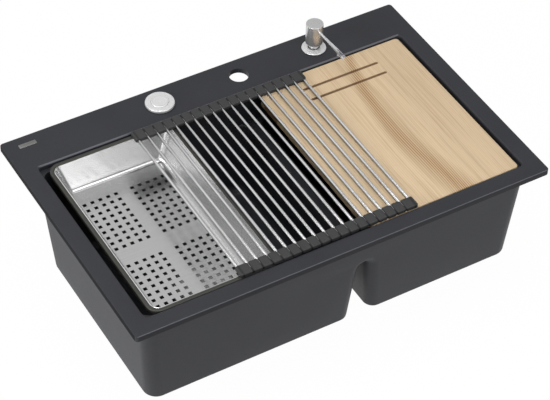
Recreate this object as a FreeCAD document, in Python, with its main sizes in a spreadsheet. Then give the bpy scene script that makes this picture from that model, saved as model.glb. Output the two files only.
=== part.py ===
"""Workstation kitchen sink: double bowl, sliding accessories and deck fittings.

Frame: millimetres, +X to the right, +Y to the rear, +Z up. The origin is the centre of the deck outline,
on the underside of the rim, where the rim lies on the worktop.
"""
import FreeCAD, Part
import math
import os
import re

import Sketcher

Vector = FreeCAD.Vector

# ---------------------------------------------------------------- driving dimensions (millimetres)
SIZES = {
    # deck
    "deck_length": 780, "deck_width": 500, "rim_height": 11, "deck_corner": 6, "deck_edge_round": 1.5,
    "seat_width": 12, "seat_step": 1.5,
    # stepped recess around the bowls, measured from the deck centre
    "recess_half": 357.5, "recess_front": 219, "recess_rear": 167.5, "recess_corner": 8,
    "recess_edge_round": 3, "ledge_drop": 10, "ledge_width": 8,
    # outer shell of the bowls, a drafted block
    "shell_top_half": 365.5, "shell_top_front": 230, "shell_top_rear": 176,
    "shell_base_left": 354, "shell_base_right": 351, "shell_base_front": 218, "shell_base_rear": 147,
    "shell_depth": 196, "shell_corner": 25, "shell_base_round": 8,
    # inside of the bowls
    "floor_thickness": 9, "bowl_base_half": 342, "bowl_base_front": 206, "bowl_base_rear": 138,
    "bowl_corner": 20, "bowl_base_round": 18,
    "divider_x": 46, "divider_drop": 60, "divider_ledge_width": 16, "divider_base_width": 55,
    "divider_reach": 60, "divider_round": 5,
    "notch_base_width": 36, "notch_roof_width": 14, "notch_roof_drop": 82, "notch_roof_round": 6,
    "notch_flare": 20,
    # deck holes and badge
    "fittings_y": 210, "tap_x": 51, "deck_hole_radius": 17.5,
    "button_x": -105, "dispenser_x": 204, "dispenser_hole_radius": 14,
    "badge_x": -347.5, "badge_y": 227.5, "badge_length": 32, "badge_width": 9,
    "badge_height": 1.2, "badge_sunk": 0.8, "badge_corner": 1.5,
    # push button for the pop-up waste
    "gasket_height": 1, "washer_height": 2,
    "button_flange_radius": 26, "button_flange_height": 5, "button_edge_round": 2,
    "button_shank_radius": 17.3, "button_shank_length": 45, "button_bore": 15.9, "button_bore_depth": 9.5,
    "button_cavity": 14, "button_web": 3, "button_guide": 5.2,
    "button_cap_radius": 15.6, "button_cap_height": 4, "button_proud": 1,
    "plunger_radius": 5, "plunger_foot": 36, "clip_radius": 12, "clip_height": 3,
    "button_plug_radius": 13.9, "button_plug_height": 15, "button_plug_floor": 1.5, "button_plug_bore": 5.4,
    "cable_hole_radius": 2, "button_nut_size": 27, "button_nut_height": 8, "button_washer_radius": 26,
    "button_coil_radius": 8.5, "button_wire": 0.8, "button_coil_turns": 5, "thread_clearance": 0.1,
    # soap dispenser
    "collar_radius": 22, "collar_height": 2.8, "collar_lip": 1.2, "collar_top_radius": 13.5,
    "collar_round": 0.8, "collar_shank_radius": 13.4, "collar_shank_length": 44,
    "collar_bore": 10.6, "collar_step_drop": 9, "collar_counterbore": 12.2,
    "dispenser_washer_radius": 23, "dispenser_nut_size": 22, "dispenser_nut_height": 9,
    "bottle_radius": 27, "bottle_wall": 1.5, "bottle_neck_radius": 16, "bottle_neck_bore": 13.7,
    "bottle_neck_drop": 25, "bottle_neck_height": 18, "bottle_shoulder": 12, "bottle_drop": 190,
    "barrel_flange_radius": 12, "barrel_flange_height": 3, "barrel_radius": 6.6, "barrel_bore": 5.5,
    "barrel_top": 5, "barrel_cap_height": 2, "barrel_drop": 80, "barrel_floor": 2,
    "spigot_radius": 3.5, "spigot_bore": 1.6, "spigot_length": 8,
    "stem_radius": 3, "stem_bore": 1.2, "stem_top": 40, "stem_clearance": 0.2,
    "piston_radius": 5.4, "piston_top_drop": 30, "piston_height": 6,
    "pump_coil_radius": 4.2, "pump_wire": 0.5, "pump_coil_turns": 11,
    "head_radius": 15.6, "head_top": 56, "head_shoulder": 12, "head_underside_round": 4,
    "head_top_round": 1, "sleeve_radius": 9, "sleeve_bore": 7.8, "sleeve_bottom": 2, "sleeve_roof": 20,
    "spout_height": 48, "spout_radius": 2, "spout_bore": 1.2, "spout_reach": 88, "spout_bend": 3.5,
    "spout_socket": 3, "spout_drop": 1, "dip_tube_radius": 4.5, "dip_tube_foot": 184,
    # wastes, heights measured from the bowl floor
    "waste_hole_radius": 45, "waste_left_x": -161, "waste_right_x": 207, "waste_y": -34,
    "waste_seal_inner": 46, "waste_seal_outer": 56, "waste_seal_height": 2,
    "waste_flange_radius": 57, "waste_flange_height": 1.8, "waste_seat_radius": 44, "waste_steel": 1.7,
    "waste_throat_radius": 43.5, "waste_throat_depth": 32, "waste_drain_radius": 6,
    "waste_drain_circle": 26, "waste_drain_count": 8,
    "waste_gasket_inner": 44.5, "waste_gasket_outer": 55, "waste_gasket_height": 3,
    "cup_rim_radius": 56, "cup_rim_height": 3, "cup_radius": 47, "cup_bore": 44.3, "cup_cone_top": 43,
    "cup_cone_height": 10, "cup_floor": 3, "outlet_radius": 23.9, "outlet_bore": 20, "outlet_length": 30,
    "cup_boss_radius": 11, "cup_boss_top": 38, "cup_boss_height": 14,
    "cup_rib_half_width": 2, "cup_rib_half": 38, "cup_rib_top": 42, "cup_rib_height": 6,
    "screw_radius": 4, "screw_head_radius": 9, "screw_head_height": 4,
    "tube_screw_radius": 6, "tube_screw_bore": 3.3, "tube_screw_head_radius": 11,
    "tube_screw_head_height": 3, "screw_length": 22, "screw_clearance": 0.2, "screw_head_round": 1,
    "plug_radius": 46, "plug_height": 2.5, "plug_round": 1, "plug_post_radius": 5, "plug_post_foot": 22,
    "lift_pin_radius": 3, "lift_pin_foot": 74,
    "basket_rim_radius": 46, "basket_rim_height": 1.2, "basket_radius": 38.5, "basket_wall": 1.2,
    "basket_foot": 24, "basket_knob_radius": 6, "basket_knob_top": 14, "basket_knob_round": 4,
    "basket_hole_radius": 2.4, "basket_hole_count": 12, "basket_hole_circle": 14, "basket_hole_step": 8,
    # overflow in the rear wall of the left bowl
    "overflow_x": -161, "overflow_z": -86, "overflow_seat_y": 153.5, "overflow_wall": 16.5,
    "overflow_hole_radius": 19, "overflow_recess_radius": 26, "overflow_boss_radius": 29,
    "overflow_cover_radius": 25, "overflow_cover_height": 2.5, "overflow_slot_radius": 3,
    "overflow_slot_circle": 15, "overflow_slot_count": 6,
    "overflow_seal_inner": 20, "overflow_seal_outer": 27, "overflow_seal_height": 2,
    "elbow_flange_radius": 28, "elbow_flange_height": 3, "elbow_radius": 22, "elbow_bore": 19.5,
    "elbow_depth": 25, "elbow_wall": 2.5, "elbow_boss_radius": 5, "elbow_boss_start": 24,
    "hose_spigot_radius": 11, "hose_spigot_bore": 9, "hose_spigot_reach": 50, "hose_spigot_axis": 31,
    "hose_collar_radius": 12.4, "hose_collar_reach": 30,
    "overflow_screw_radius": 2.1, "overflow_screw_head_radius": 5, "overflow_screw_head_height": 3,
    "overflow_screw_length": 36, "overflow_screw_hole": 2.4,
    # accessories on the ledges: their tops lie this far under the deck
    "accessory_drop": 3, "colander_left": -344.5, "colander_right": -106.5,
    "rest_front": 216.5, "rest_rear": 165.5, "colander_corner": 22, "rim_band": 7.5,
    "colander_rim_round": 1.5, "tray_depth": 66, "tray_slope_x": 23.5, "tray_slope_y": 8,
    "tray_front": 209, "tray_rear": 158, "tray_corner": 15, "tray_base_corner": 14, "steel": 1,
    "tray_edge_drop": 1, "tray_fold": 6, "hole_side": 6.5, "hole_pitch_x": 14.8, "hole_pitch_y": 14.65,
    "hole_columns": 5, "hole_rows": 9, "hole_group_step_x": 89.5, "hole_group_step_y": 161,
    "hole_first_x": -302, "hole_first_y": 110.5,
    "board_left": 58, "board_right": 351, "board_corner": 7, "board_thickness": 20,
    "board_core_front": 208, "board_core_rear": 157, "board_core_inset": 1.5, "board_core_corner": 18,
    "board_edge_round": 2,
    "groove_left": 131.5, "groove_right": 285.5, "groove_width": 6, "groove_depth": 4,
    "groove_rear_y": 124.5, "groove_pitch": 29,
    # roll-up mat
    "mat_front": 217, "mat_rear": 166, "strip_width": 22.5, "strip_height": 8, "rod_radius": 2.75,
    "rod_axis_height": 3.5, "rod_pitch": 18, "rod_first_x": -180, "rod_end_inset": 10, "mat_end": 5,
    "crease_depth": 1.2, "crease_half": 0.8,
}

FULL_TURN = 360.0
MAT_RODS_PER_PANEL = (3, 3, 3, 3, 3, 4)

ALIAS_WORD = re.compile(r"\b(" + "|".join(sorted(SIZES, key=len, reverse=True)) + r")\b")

doc = FreeCAD.newDocument("workstation_sink")
sheet = doc.addObject("Spreadsheet::Sheet", "Sizes")
for row, (alias, size) in enumerate(SIZES.items(), start=1):
    sheet.set(f"A{row}", alias)
    sheet.set(f"B{row}", str(size))
    sheet.setAlias(f"B{row}", alias)
derived = doc.addObject("Spreadsheet::Sheet", "Derived")
doc.recompute()

sub_parts = []


# ---------------------------------------------------------------- construction helpers
def cell(text):
    """The expression with each size's name pointing at its cell."""
    return ALIAS_WORD.sub(r"Sizes.\1", text)


def place(item, x="0", y="0", z="0"):
    """Bind the position of a sub-part to the sheet."""
    for axis, text in zip("xyz", (x, y, z)):
        item.setExpression(f".Placement.Base.{axis}", cell(text))


def new_body(label):
    """A PartDesign body that becomes one node."""
    body = doc.addObject("PartDesign::Body", label)
    body.Label = label
    body.AllowCompound = True
    sub_parts.append(body)
    return body


def new_sketch(body, name, role="XY_Plane", offset="0"):
    """A sketch on one of the body's own planes, moved along the plane's normal by offset."""
    sketch = body.newObject("Sketcher::SketchObject", name)
    support = next(item for item in body.Origin.OriginFeatures if item.Role == role)
    sketch.AttachmentSupport = (support, [""])
    sketch.MapMode = "FlatFace"
    sketch.setExpression(".AttachmentOffset.Base.z", cell(offset))
    return sketch


def bind(sketch, kind, text, *where):
    """Add a dimension whose value comes from the sheet."""
    index = sketch.addConstraint(Sketcher.Constraint(kind, *where, 1.0))
    sketch.setExpression(f"Constraints[{index}]", cell(text))


def pin_point(sketch, geometry, point, x=None, y=None):
    """Fix a point of the geometry relative to the sketch's origin."""
    if x is not None:
        bind(sketch, "DistanceX", x, -1, 1, geometry, point)
    if y is not None:
        bind(sketch, "DistanceY", y, -1, 1, geometry, point)


def circle(sketch, radius, x="0", y="0"):
    """A circle with its centre and radius bound to the sheet."""
    index = sketch.addGeometry(Part.Circle(Vector(1, 1, 0), Vector(0, 0, 1), 2))
    bind(sketch, "Radius", radius, index)
    pin_point(sketch, index, 3, x, y)


def polygon(sketch, points):
    """A closed outline of straight lines through points given as pairs of expressions."""
    count = len(points)
    seed = [Vector(50 + 40 * math.cos(2 * math.pi * i / count), 40 * math.sin(2 * math.pi * i / count), 0)
            for i in range(count)]
    lines = [sketch.addGeometry(Part.LineSegment(seed[i], seed[(i + 1) % count])) for i in range(count)]
    for i in range(count):
        sketch.addConstraint(Sketcher.Constraint("Coincident", lines[i], 2, lines[(i + 1) % count], 1))
    for line, (x, y) in zip(lines, points):
        pin_point(sketch, line, 1, x, y)


def rounded_rectangle(sketch, left, right, front, rear, corner):
    """A rectangle between four bound sides, with four equal round corners."""
    half, gap = 100, 10
    ends = [((gap - half, -half), (half - gap, -half)), ((half, gap - half), (half, half - gap)),
            ((half - gap, half), (gap - half, half)), ((-half, half - gap), (-half, gap - half))]
    centres = [(half - gap, gap - half), (half - gap, half - gap), (gap - half, half - gap),
               (gap - half, gap - half)]
    sides = [sketch.addGeometry(Part.LineSegment(Vector(*a, 0), Vector(*b, 0))) for a, b in ends]
    arcs = []
    for turn, centre in enumerate(centres):
        start = math.radians(90 * turn - 90)
        ring = Part.Circle(Vector(*centre, 0), Vector(0, 0, 1), gap)
        arcs.append(sketch.addGeometry(Part.ArcOfCircle(ring, start, start + math.pi / 2)))
    for turn in range(4):
        sketch.addConstraint(Sketcher.Constraint("Tangent", sides[turn], 2, arcs[turn], 1))
        sketch.addConstraint(Sketcher.Constraint("Tangent", arcs[turn], 2, sides[(turn + 1) % 4], 1))
        bind(sketch, "Radius", corner, arcs[turn])
    for turn, kind in enumerate(("Horizontal", "Vertical", "Horizontal", "Vertical")):
        sketch.addConstraint(Sketcher.Constraint(kind, sides[turn]))
    pin_point(sketch, sides[0], 1, y=front)
    pin_point(sketch, sides[1], 1, x=right)
    pin_point(sketch, sides[2], 1, y=rear)
    pin_point(sketch, sides[3], 1, x=left)


def add_feature(body, kind, name, profile, **settings):
    """Add a PartDesign feature built on a sketch; text settings are bound to the sheet."""
    feature = body.newObject(f"PartDesign::{kind}", name)
    feature.Profile = profile
    for key, value in settings.items():
        if isinstance(value, str) and key not in ("Type", "Mode"):
            feature.setExpression(key, cell(value))
        else:
            setattr(feature, key, value)
    doc.recompute()
    return feature


def cut(body, kind, name, profile, **settings):
    """Add a subtractive feature and make sure that it removes material."""
    before = body.Shape.Volume
    feature = add_feature(body, kind, name, profile, **settings)
    if not feature.Shape.Volume < before:
        raise RuntimeError(f"{body.Label}.{name} removes nothing")
    return feature


def loft(body, kind, name, first, second):
    """A ruled loft between two sketches."""
    before = body.Shape.Volume if body.Tip else 0
    feature = add_feature(body, kind, name, first, Sections=[second], Ruled=True)
    if kind == "SubtractiveLoft" and not feature.Shape.Volume < before:
        raise RuntimeError(f"{body.Label}.{name} removes nothing")
    return feature


def round_edges(body, name, radius, chosen):
    """Fillet the edges of the body's present shape for which chosen(edge) is true."""
    base = body.Tip
    names = [f"Edge{i}" for i, edge in enumerate(base.Shape.Edges, start=1) if chosen(edge)]
    if not names:
        raise RuntimeError(f"{body.Label}.{name} finds no edge")
    feature = body.newObject("PartDesign::Fillet", name)
    feature.Base = (base, names)
    feature.setExpression("Radius", cell(radius))
    doc.recompute()
    return feature


def value(text):
    """The number that an expression of sizes gives."""
    derived.set("A1", f"={cell(text)}")
    derived.recompute()
    return float(derived.get("A1"))


def level_at(height):
    """A test for edges that lie flat at the given height."""
    target = value(height)
    return lambda edge: all(abs(v.Z - target) < 1e-4 for v in edge.Vertexes) and (
        abs(edge.BoundBox.ZMax - edge.BoundBox.ZMin) < 1e-4)


def ring_at(radius, height):
    """A test for a full circle of the given radius at the given height."""
    size, target = value(radius), value(height)
    return lambda edge: (isinstance(edge.Curve, Part.Circle) and abs(edge.Curve.Radius - size) < 1e-4
                         and abs(edge.Curve.Center.z - target) < 1e-4)


def turned(label, outline, x="0", y="0", z="0"):
    """A body of revolution about its own vertical axis, from an outline of (radius, height)."""
    body = new_body(label)
    sketch = new_sketch(body, f"{label}_outline", "XZ_Plane")
    polygon(sketch, outline)
    doc.recompute()
    add_feature(body, "Revolution", f"{label}_turned", sketch, ReferenceAxis=(sketch, ["V_Axis"]),
                Angle=FULL_TURN)
    place(body, x, y, z)
    return body


def washer(label, inner, outer, bottom, top, x, y, z):
    """A flat ring."""
    return turned(label, [(inner, bottom), (outer, bottom), (outer, top), (inner, top)], x, y, z)


def polar_holes(body, name, radius, circle_radii, count, depth, offset):
    """Round holes on one or more circles about the body's axis, cut downwards from offset."""
    sketch = new_sketch(body, f"{name}_sketch", "XY_Plane", offset)
    for circle_radius in circle_radii:
        circle(sketch, radius, circle_radius)
    doc.recompute()
    pocket = cut(body, "Pocket", f"{name}_first", sketch, Length=depth)
    pattern = body.newObject("PartDesign::PolarPattern", name)
    pattern.Originals = [pocket]
    pattern.Axis = (sketch, ["N_Axis"])
    pattern.Angle = FULL_TURN
    pattern.setExpression("Occurrences", cell(count))
    body.Tip = pattern
    doc.recompute()


def hex_nut(label, size, bore, height, x, y, z):
    """A six-sided nut standing on its lower face."""
    prism = doc.addObject("Part::Prism", f"{label}_prism")
    prism.Polygon = 6
    prism.setExpression("Circumradius", cell(size))
    prism.setExpression("Height", cell(height))
    hole = doc.addObject("Part::Cylinder", f"{label}_hole")
    hole.setExpression("Radius", cell(bore))
    hole.setExpression("Height", cell(height))
    nut = doc.addObject("Part::Cut", label)
    nut.Base = prism
    nut.Tool = hole
    nut.Label = label
    place(nut, x, y, z)
    sub_parts.append(nut)


def coil_spring(label, radius, wire, turns, length, x, y, z):
    """A compression spring: round wire swept along a helix that stands on the given height."""
    helix = doc.addObject("Part::Helix", f"{label}_helix")
    helix.setExpression("Radius", cell(radius))
    helix.setExpression("Height", cell(f"{length} - 2 * {wire}"))
    helix.setExpression("Pitch", cell(f"({length} - 2 * {wire}) / {turns}"))
    helix.SegmentLength = 1
    doc.recompute()
    section = doc.addObject("Part::Circle", f"{label}_section")
    section.setExpression("Radius", cell(wire))
    section.setExpression(".Placement.Base.x", cell(radius))
    section.Placement.Rotation = FreeCAD.Rotation(Vector(1, 0, 0), 90)
    sweep = doc.addObject("Part::Sweep", label)
    sweep.Sections = [section]
    sweep.Spine = (helix, [f"Edge{turn}" for turn in range(1, len(helix.Shape.Edges) + 1)])
    sweep.Solid = True
    sweep.Frenet = True
    sweep.Label = label
    place(sweep, x, y, f"{z} + {wire}")
    sub_parts.append(sweep)


# ---------------------------------------------------------------- heights used by several pieces
LEDGE = "(rim_height - ledge_drop)"
BOWL_FLOOR = "(floor_thickness - shell_depth)"
BOWL_FALL = f"({LEDGE} - {BOWL_FLOOR})"
DIVIDER_TOP = "(rim_height - divider_drop)"
DIVIDER_SHARE = f"(({LEDGE} - {DIVIDER_TOP}) / {BOWL_FALL})"
BOWL_FRONT = "(recess_front - ledge_width)"
BOWL_REAR = "(recess_rear - ledge_width)"
ACCESSORY_TOP = "(rim_height - accessory_drop)"


# ---------------------------------------------------------------- sink body
def shell(body):
    """The deck slab, stepped underneath inside its seat on the worktop, and the drafted block under it."""
    deck = new_sketch(body, "deck_outline")
    rounded_rectangle(deck, "-deck_length / 2", "deck_length / 2", "-deck_width / 2", "deck_width / 2",
                      "deck_corner")
    doc.recompute()
    add_feature(body, "Pad", "deck", deck, Length="rim_height")
    seat = new_sketch(body, "seat_outline")
    rounded_rectangle(seat, "seat_width - deck_length / 2", "deck_length / 2 - seat_width",
                      "seat_width - deck_width / 2", "deck_width / 2 - seat_width", "deck_corner")
    doc.recompute()
    cut(body, "Pocket", "seat", seat, Reversed=True, Length="seat_step")
    top = new_sketch(body, "shell_top", offset="seat_step")
    rounded_rectangle(top, "-shell_top_half", "shell_top_half", "-shell_top_front", "shell_top_rear",
                      "shell_corner")
    base = new_sketch(body, "shell_base", offset="-shell_depth")
    rounded_rectangle(base, "-shell_base_left", "shell_base_right", "-shell_base_front",
                      "shell_base_rear", "shell_corner")
    doc.recompute()
    loft(body, "AdditiveLoft", "shell", top, base)
    round_edges(body, "deck_edge", "deck_edge_round", level_at("rim_height"))


def notch(body):
    """The open gap between the two bowls, seen from the front and from underneath."""
    sketch = new_sketch(body, "notch_outline", "XZ_Plane")
    roof = "rim_height - notch_roof_drop"
    polygon(sketch, [("divider_x - notch_base_width / 2", "-shell_depth"),
                     ("divider_x + notch_base_width / 2", "-shell_depth"),
                     ("divider_x + notch_roof_width / 2", roof),
                     ("divider_x - notch_roof_width / 2", roof)])
    doc.recompute()
    cut(body, "Pocket", "notch", sketch, Midplane=True, Length="deck_width")
    flat_roof = level_at(roof)
    round_edges(body, "notch_roof", "notch_roof_round",
                lambda edge: flat_roof(edge) and edge.BoundBox.YLength > edge.BoundBox.XLength)
    low, high = value("divider_x - notch_base_width / 2"), value("divider_x + notch_base_width / 2")
    reach = value("shell_base_front") - 1, value("shell_base_rear") - 1

    def on_mouth(edge):
        """Whether the edge outlines the notch on the front or the rear face."""
        box = edge.BoundBox
        inside = low - 1 < box.XMin and box.XMax < high + 1
        outer = box.YMax < -reach[0] or box.YMin > reach[1]
        return inside and outer and box.ZLength > 1 and box.ZMax < 0

    round_edges(body, "notch_mouth", "notch_flare", on_mouth)
    round_edges(body, "shell_base_edge", "shell_base_round", level_at("-shell_depth"))


def bowls(body):
    """The stepped recess, the two bowls and the low divider between them."""
    recess = new_sketch(body, "recess_outline", offset="rim_height")
    rounded_rectangle(recess, "-recess_half", "recess_half", "-recess_front", "recess_rear",
                      "recess_corner")
    doc.recompute()
    cut(body, "Pocket", "recess", recess, Length="ledge_drop")
    flat_top, half = level_at("rim_height"), value("recess_half") + 1
    front = value("recess_front") + 1
    round_edges(body, "recess_edge", "recess_edge_round",
                lambda edge: flat_top(edge) and edge.BoundBox.XMax < half and edge.BoundBox.XMin > -half
                and edge.BoundBox.YMin > -front)
    sides = {"left": ("-recess_half", "divider_x - divider_ledge_width / 2",
                      "-bowl_base_half", "divider_x - divider_base_width / 2"),
             "right": ("divider_x + divider_ledge_width / 2", "recess_half",
                       "divider_x + divider_base_width / 2", "bowl_base_half")}
    for side, (top_left, top_right, base_left, base_right) in sides.items():
        top = new_sketch(body, f"{side}_bowl_top", offset=LEDGE)
        rounded_rectangle(top, top_left, top_right, f"-{BOWL_FRONT}", BOWL_REAR, "bowl_corner")
        base = new_sketch(body, f"{side}_bowl_base", offset=BOWL_FLOOR)
        rounded_rectangle(base, base_left, base_right, "-bowl_base_front", "bowl_base_rear", "bowl_corner")
        doc.recompute()
        loft(body, "SubtractiveLoft", f"{side}_bowl", top, base)
    above = {"top": (LEDGE, BOWL_FRONT, BOWL_REAR),
             "base": (DIVIDER_TOP, f"({BOWL_FRONT} - ({BOWL_FRONT} - bowl_base_front) * {DIVIDER_SHARE})",
                      f"({BOWL_REAR} - ({BOWL_REAR} - bowl_base_rear) * {DIVIDER_SHARE})")}
    outlines = []
    for name, (height, near, far) in above.items():
        sketch = new_sketch(body, f"over_divider_{name}", offset=height)
        polygon(sketch, [("divider_x - divider_reach", f"-{near}"), ("divider_x + divider_reach", f"-{near}"),
                         ("divider_x + divider_reach", far), ("divider_x - divider_reach", far)])
        outlines.append(sketch)
    doc.recompute()
    loft(body, "SubtractiveLoft", "over_divider", *outlines)
    round_edges(body, "bowl_base_edge", "bowl_base_round", level_at(BOWL_FLOOR))
    crest = level_at(DIVIDER_TOP)
    round_edges(body, "divider_edge", "divider_round",
                lambda edge: crest(edge) and edge.BoundBox.YLength > value("bowl_base_rear"))


def openings(body):
    """Holes for the tap, button, dispenser and wastes, and the shallow seat of the badge."""
    deck = new_sketch(body, "deck_holes", offset="rim_height")
    circle(deck, "deck_hole_radius", "tap_x", "fittings_y")
    circle(deck, "deck_hole_radius", "button_x", "fittings_y")
    circle(deck, "dispenser_hole_radius", "dispenser_x", "fittings_y")
    doc.recompute()
    cut(body, "Pocket", "fitting_holes", deck, Length="rim_height")
    floor = new_sketch(body, "waste_outlines", offset=BOWL_FLOOR)
    circle(floor, "waste_hole_radius", "waste_left_x", "waste_y")
    circle(floor, "waste_hole_radius", "waste_right_x", "waste_y")
    doc.recompute()
    cut(body, "Pocket", "waste_holes", floor, Length="floor_thickness")
    seat = new_sketch(body, "badge_seat_outline", offset="rim_height")
    badge_outline(seat)
    doc.recompute()
    cut(body, "Pocket", "badge_seat", seat, Length="badge_sunk")


def badge_outline(sketch):
    """The outline that the badge and its seat share."""
    rounded_rectangle(sketch, "badge_x - badge_length / 2", "badge_x + badge_length / 2",
                      "badge_y - badge_width / 2", "badge_y + badge_width / 2", "badge_corner")


def overflow_port(body):
    """A flat boss outside, a flat seat inside and a hole between them in the rear wall."""
    back = new_sketch(body, "overflow_boss_outline", "XZ_Plane", "-(overflow_seat_y + overflow_wall)")
    circle(back, "overflow_boss_radius", "overflow_x", "overflow_z")
    doc.recompute()
    add_feature(body, "Pad", "overflow_boss", back, Length="overflow_wall")
    seat = new_sketch(body, "overflow_seat_outline", "XZ_Plane", "-overflow_seat_y")
    circle(seat, "overflow_recess_radius", "overflow_x", "overflow_z")
    doc.recompute()
    cut(body, "Pocket", "overflow_seat", seat, Reversed=True, Length="floor_thickness")
    hole = new_sketch(body, "overflow_hole_outline", "XZ_Plane", "-overflow_seat_y")
    circle(hole, "overflow_hole_radius", "overflow_x", "overflow_z")
    doc.recompute()
    cut(body, "Pocket", "overflow_hole", hole, Length="overflow_wall")


def sink_body():
    """The moulded stone-composite body, one solid."""
    body = new_body("sink_body")
    shell(body)
    notch(body)
    bowls(body)
    overflow_port(body)
    openings(body)


def badge_plate():
    """A bare plate let into the deck near its rear-left corner."""
    body = new_body("badge_plate")
    sketch = new_sketch(body, "badge_plate_outline", offset="rim_height - badge_sunk")
    badge_outline(sketch)
    doc.recompute()
    add_feature(body, "Pad", "badge_pad", sketch, Length="badge_height")


# ---------------------------------------------------------------- push button of the pop-up waste
def button_control():
    """Rosette, button and the works under the deck; heights are measured from the deck's top."""
    where = ("button_x", "fittings_y", "rim_height")
    top = "(gasket_height + button_flange_height)"
    web = f"({top} - button_bore_depth)"
    foot = "(gasket_height - button_shank_length)"
    housing = turned("button_housing", [
        ("button_bore", top), ("button_flange_radius", top), ("button_flange_radius", "gasket_height"),
        ("button_shank_radius", "gasket_height"), ("button_shank_radius", foot), ("button_cavity", foot),
        ("button_cavity", f"{web} - button_web"), ("button_guide", f"{web} - button_web"),
        ("button_guide", web), ("button_bore", web)], *where)
    round_edges(housing, "button_housing_edge", "button_edge_round",
                ring_at("button_flange_radius", top))
    washer("button_gasket", "deck_hole_radius + thread_clearance", "button_flange_radius - 1",
           "0", "gasket_height", *where)
    washer("button_washer", "button_shank_radius + stem_clearance", "button_washer_radius",
           "seat_step - rim_height - washer_height", "seat_step - rim_height", *where)
    hex_nut("button_nut", "button_nut_size", "button_shank_radius + thread_clearance", "button_nut_height",
            "button_x", "fittings_y", "seat_step - washer_height - button_nut_height")
    cap_top = f"({top} + button_proud)"
    cap = turned("button_cap", [
        ("0", cap_top), ("button_cap_radius", cap_top),
        ("button_cap_radius", f"{cap_top} - button_cap_height"),
        ("plunger_radius", f"{cap_top} - button_cap_height"), ("plunger_radius", "-plunger_foot"),
        ("0", "-plunger_foot")], *where)
    round_edges(cap, "button_cap_edge", "button_proud / 2", ring_at("button_cap_radius", cap_top))
    clip_top = f"({web} - button_web)"
    washer("button_clip", "plunger_radius", "clip_radius", f"{clip_top} - clip_height", clip_top, *where)
    turned("button_plug", [
        ("button_plug_bore", f"{foot} + button_plug_height"),
        ("button_plug_radius", f"{foot} + button_plug_height"), ("button_plug_radius", foot),
        ("cable_hole_radius", foot), ("cable_hole_radius", f"{foot} + button_plug_floor"),
        ("button_plug_bore", f"{foot} + button_plug_floor")], *where)
    spring_foot = f"({foot} + button_plug_height)"
    coil_spring("button_spring", "button_coil_radius", "button_wire", "button_coil_turns",
                f"({clip_top} - clip_height - {spring_foot})", "button_x", "fittings_y",
                f"rim_height + {spring_foot}")


# ---------------------------------------------------------------- soap dispenser
def dispenser_fixing():
    """Collar, gasket, washer, nut and bottle, which stay still on the deck."""
    where = ("dispenser_x", "fittings_y", "rim_height")
    top = "(gasket_height + collar_height)"
    lip = "(gasket_height + collar_lip)"
    foot = "(gasket_height - collar_shank_length)"
    collar = turned("dispenser_collar", [
        ("collar_bore", top), ("collar_top_radius", top), ("collar_radius", lip),
        ("collar_radius", "gasket_height"),
        ("collar_shank_radius", "gasket_height"), ("collar_shank_radius", foot),
        ("collar_counterbore", foot), ("collar_counterbore", "-collar_step_drop"),
        ("collar_bore", "-collar_step_drop")], *where)
    round_edges(collar, "collar_edge", "collar_round", ring_at("collar_radius", lip))
    washer("dispenser_gasket", "dispenser_hole_radius + thread_clearance", "collar_radius - 1",
           "0", "gasket_height", *where)
    washer("dispenser_washer", "collar_shank_radius + stem_clearance", "dispenser_washer_radius",
           "seat_step - rim_height - washer_height", "seat_step - rim_height", *where)
    hex_nut("dispenser_nut", "dispenser_nut_size", "collar_shank_radius + thread_clearance",
            "dispenser_nut_height", "dispenser_x", "fittings_y",
            "seat_step - washer_height - dispenser_nut_height")
    neck_foot = "(bottle_neck_drop + bottle_neck_height)"
    turned("dispenser_bottle", [
        ("bottle_neck_bore", "-bottle_neck_drop"), ("bottle_neck_radius", "-bottle_neck_drop"),
        ("bottle_neck_radius", f"-{neck_foot}"), ("bottle_radius", f"-{neck_foot} - bottle_shoulder"),
        ("bottle_radius", "-bottle_drop"), ("0", "-bottle_drop"), ("0", "-bottle_drop + bottle_wall"),
        ("bottle_radius - bottle_wall", "-bottle_drop + bottle_wall"),
        ("bottle_radius - bottle_wall", f"-{neck_foot} - bottle_shoulder - bottle_wall"),
        ("bottle_neck_bore", f"-{neck_foot}")], *where)


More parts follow.
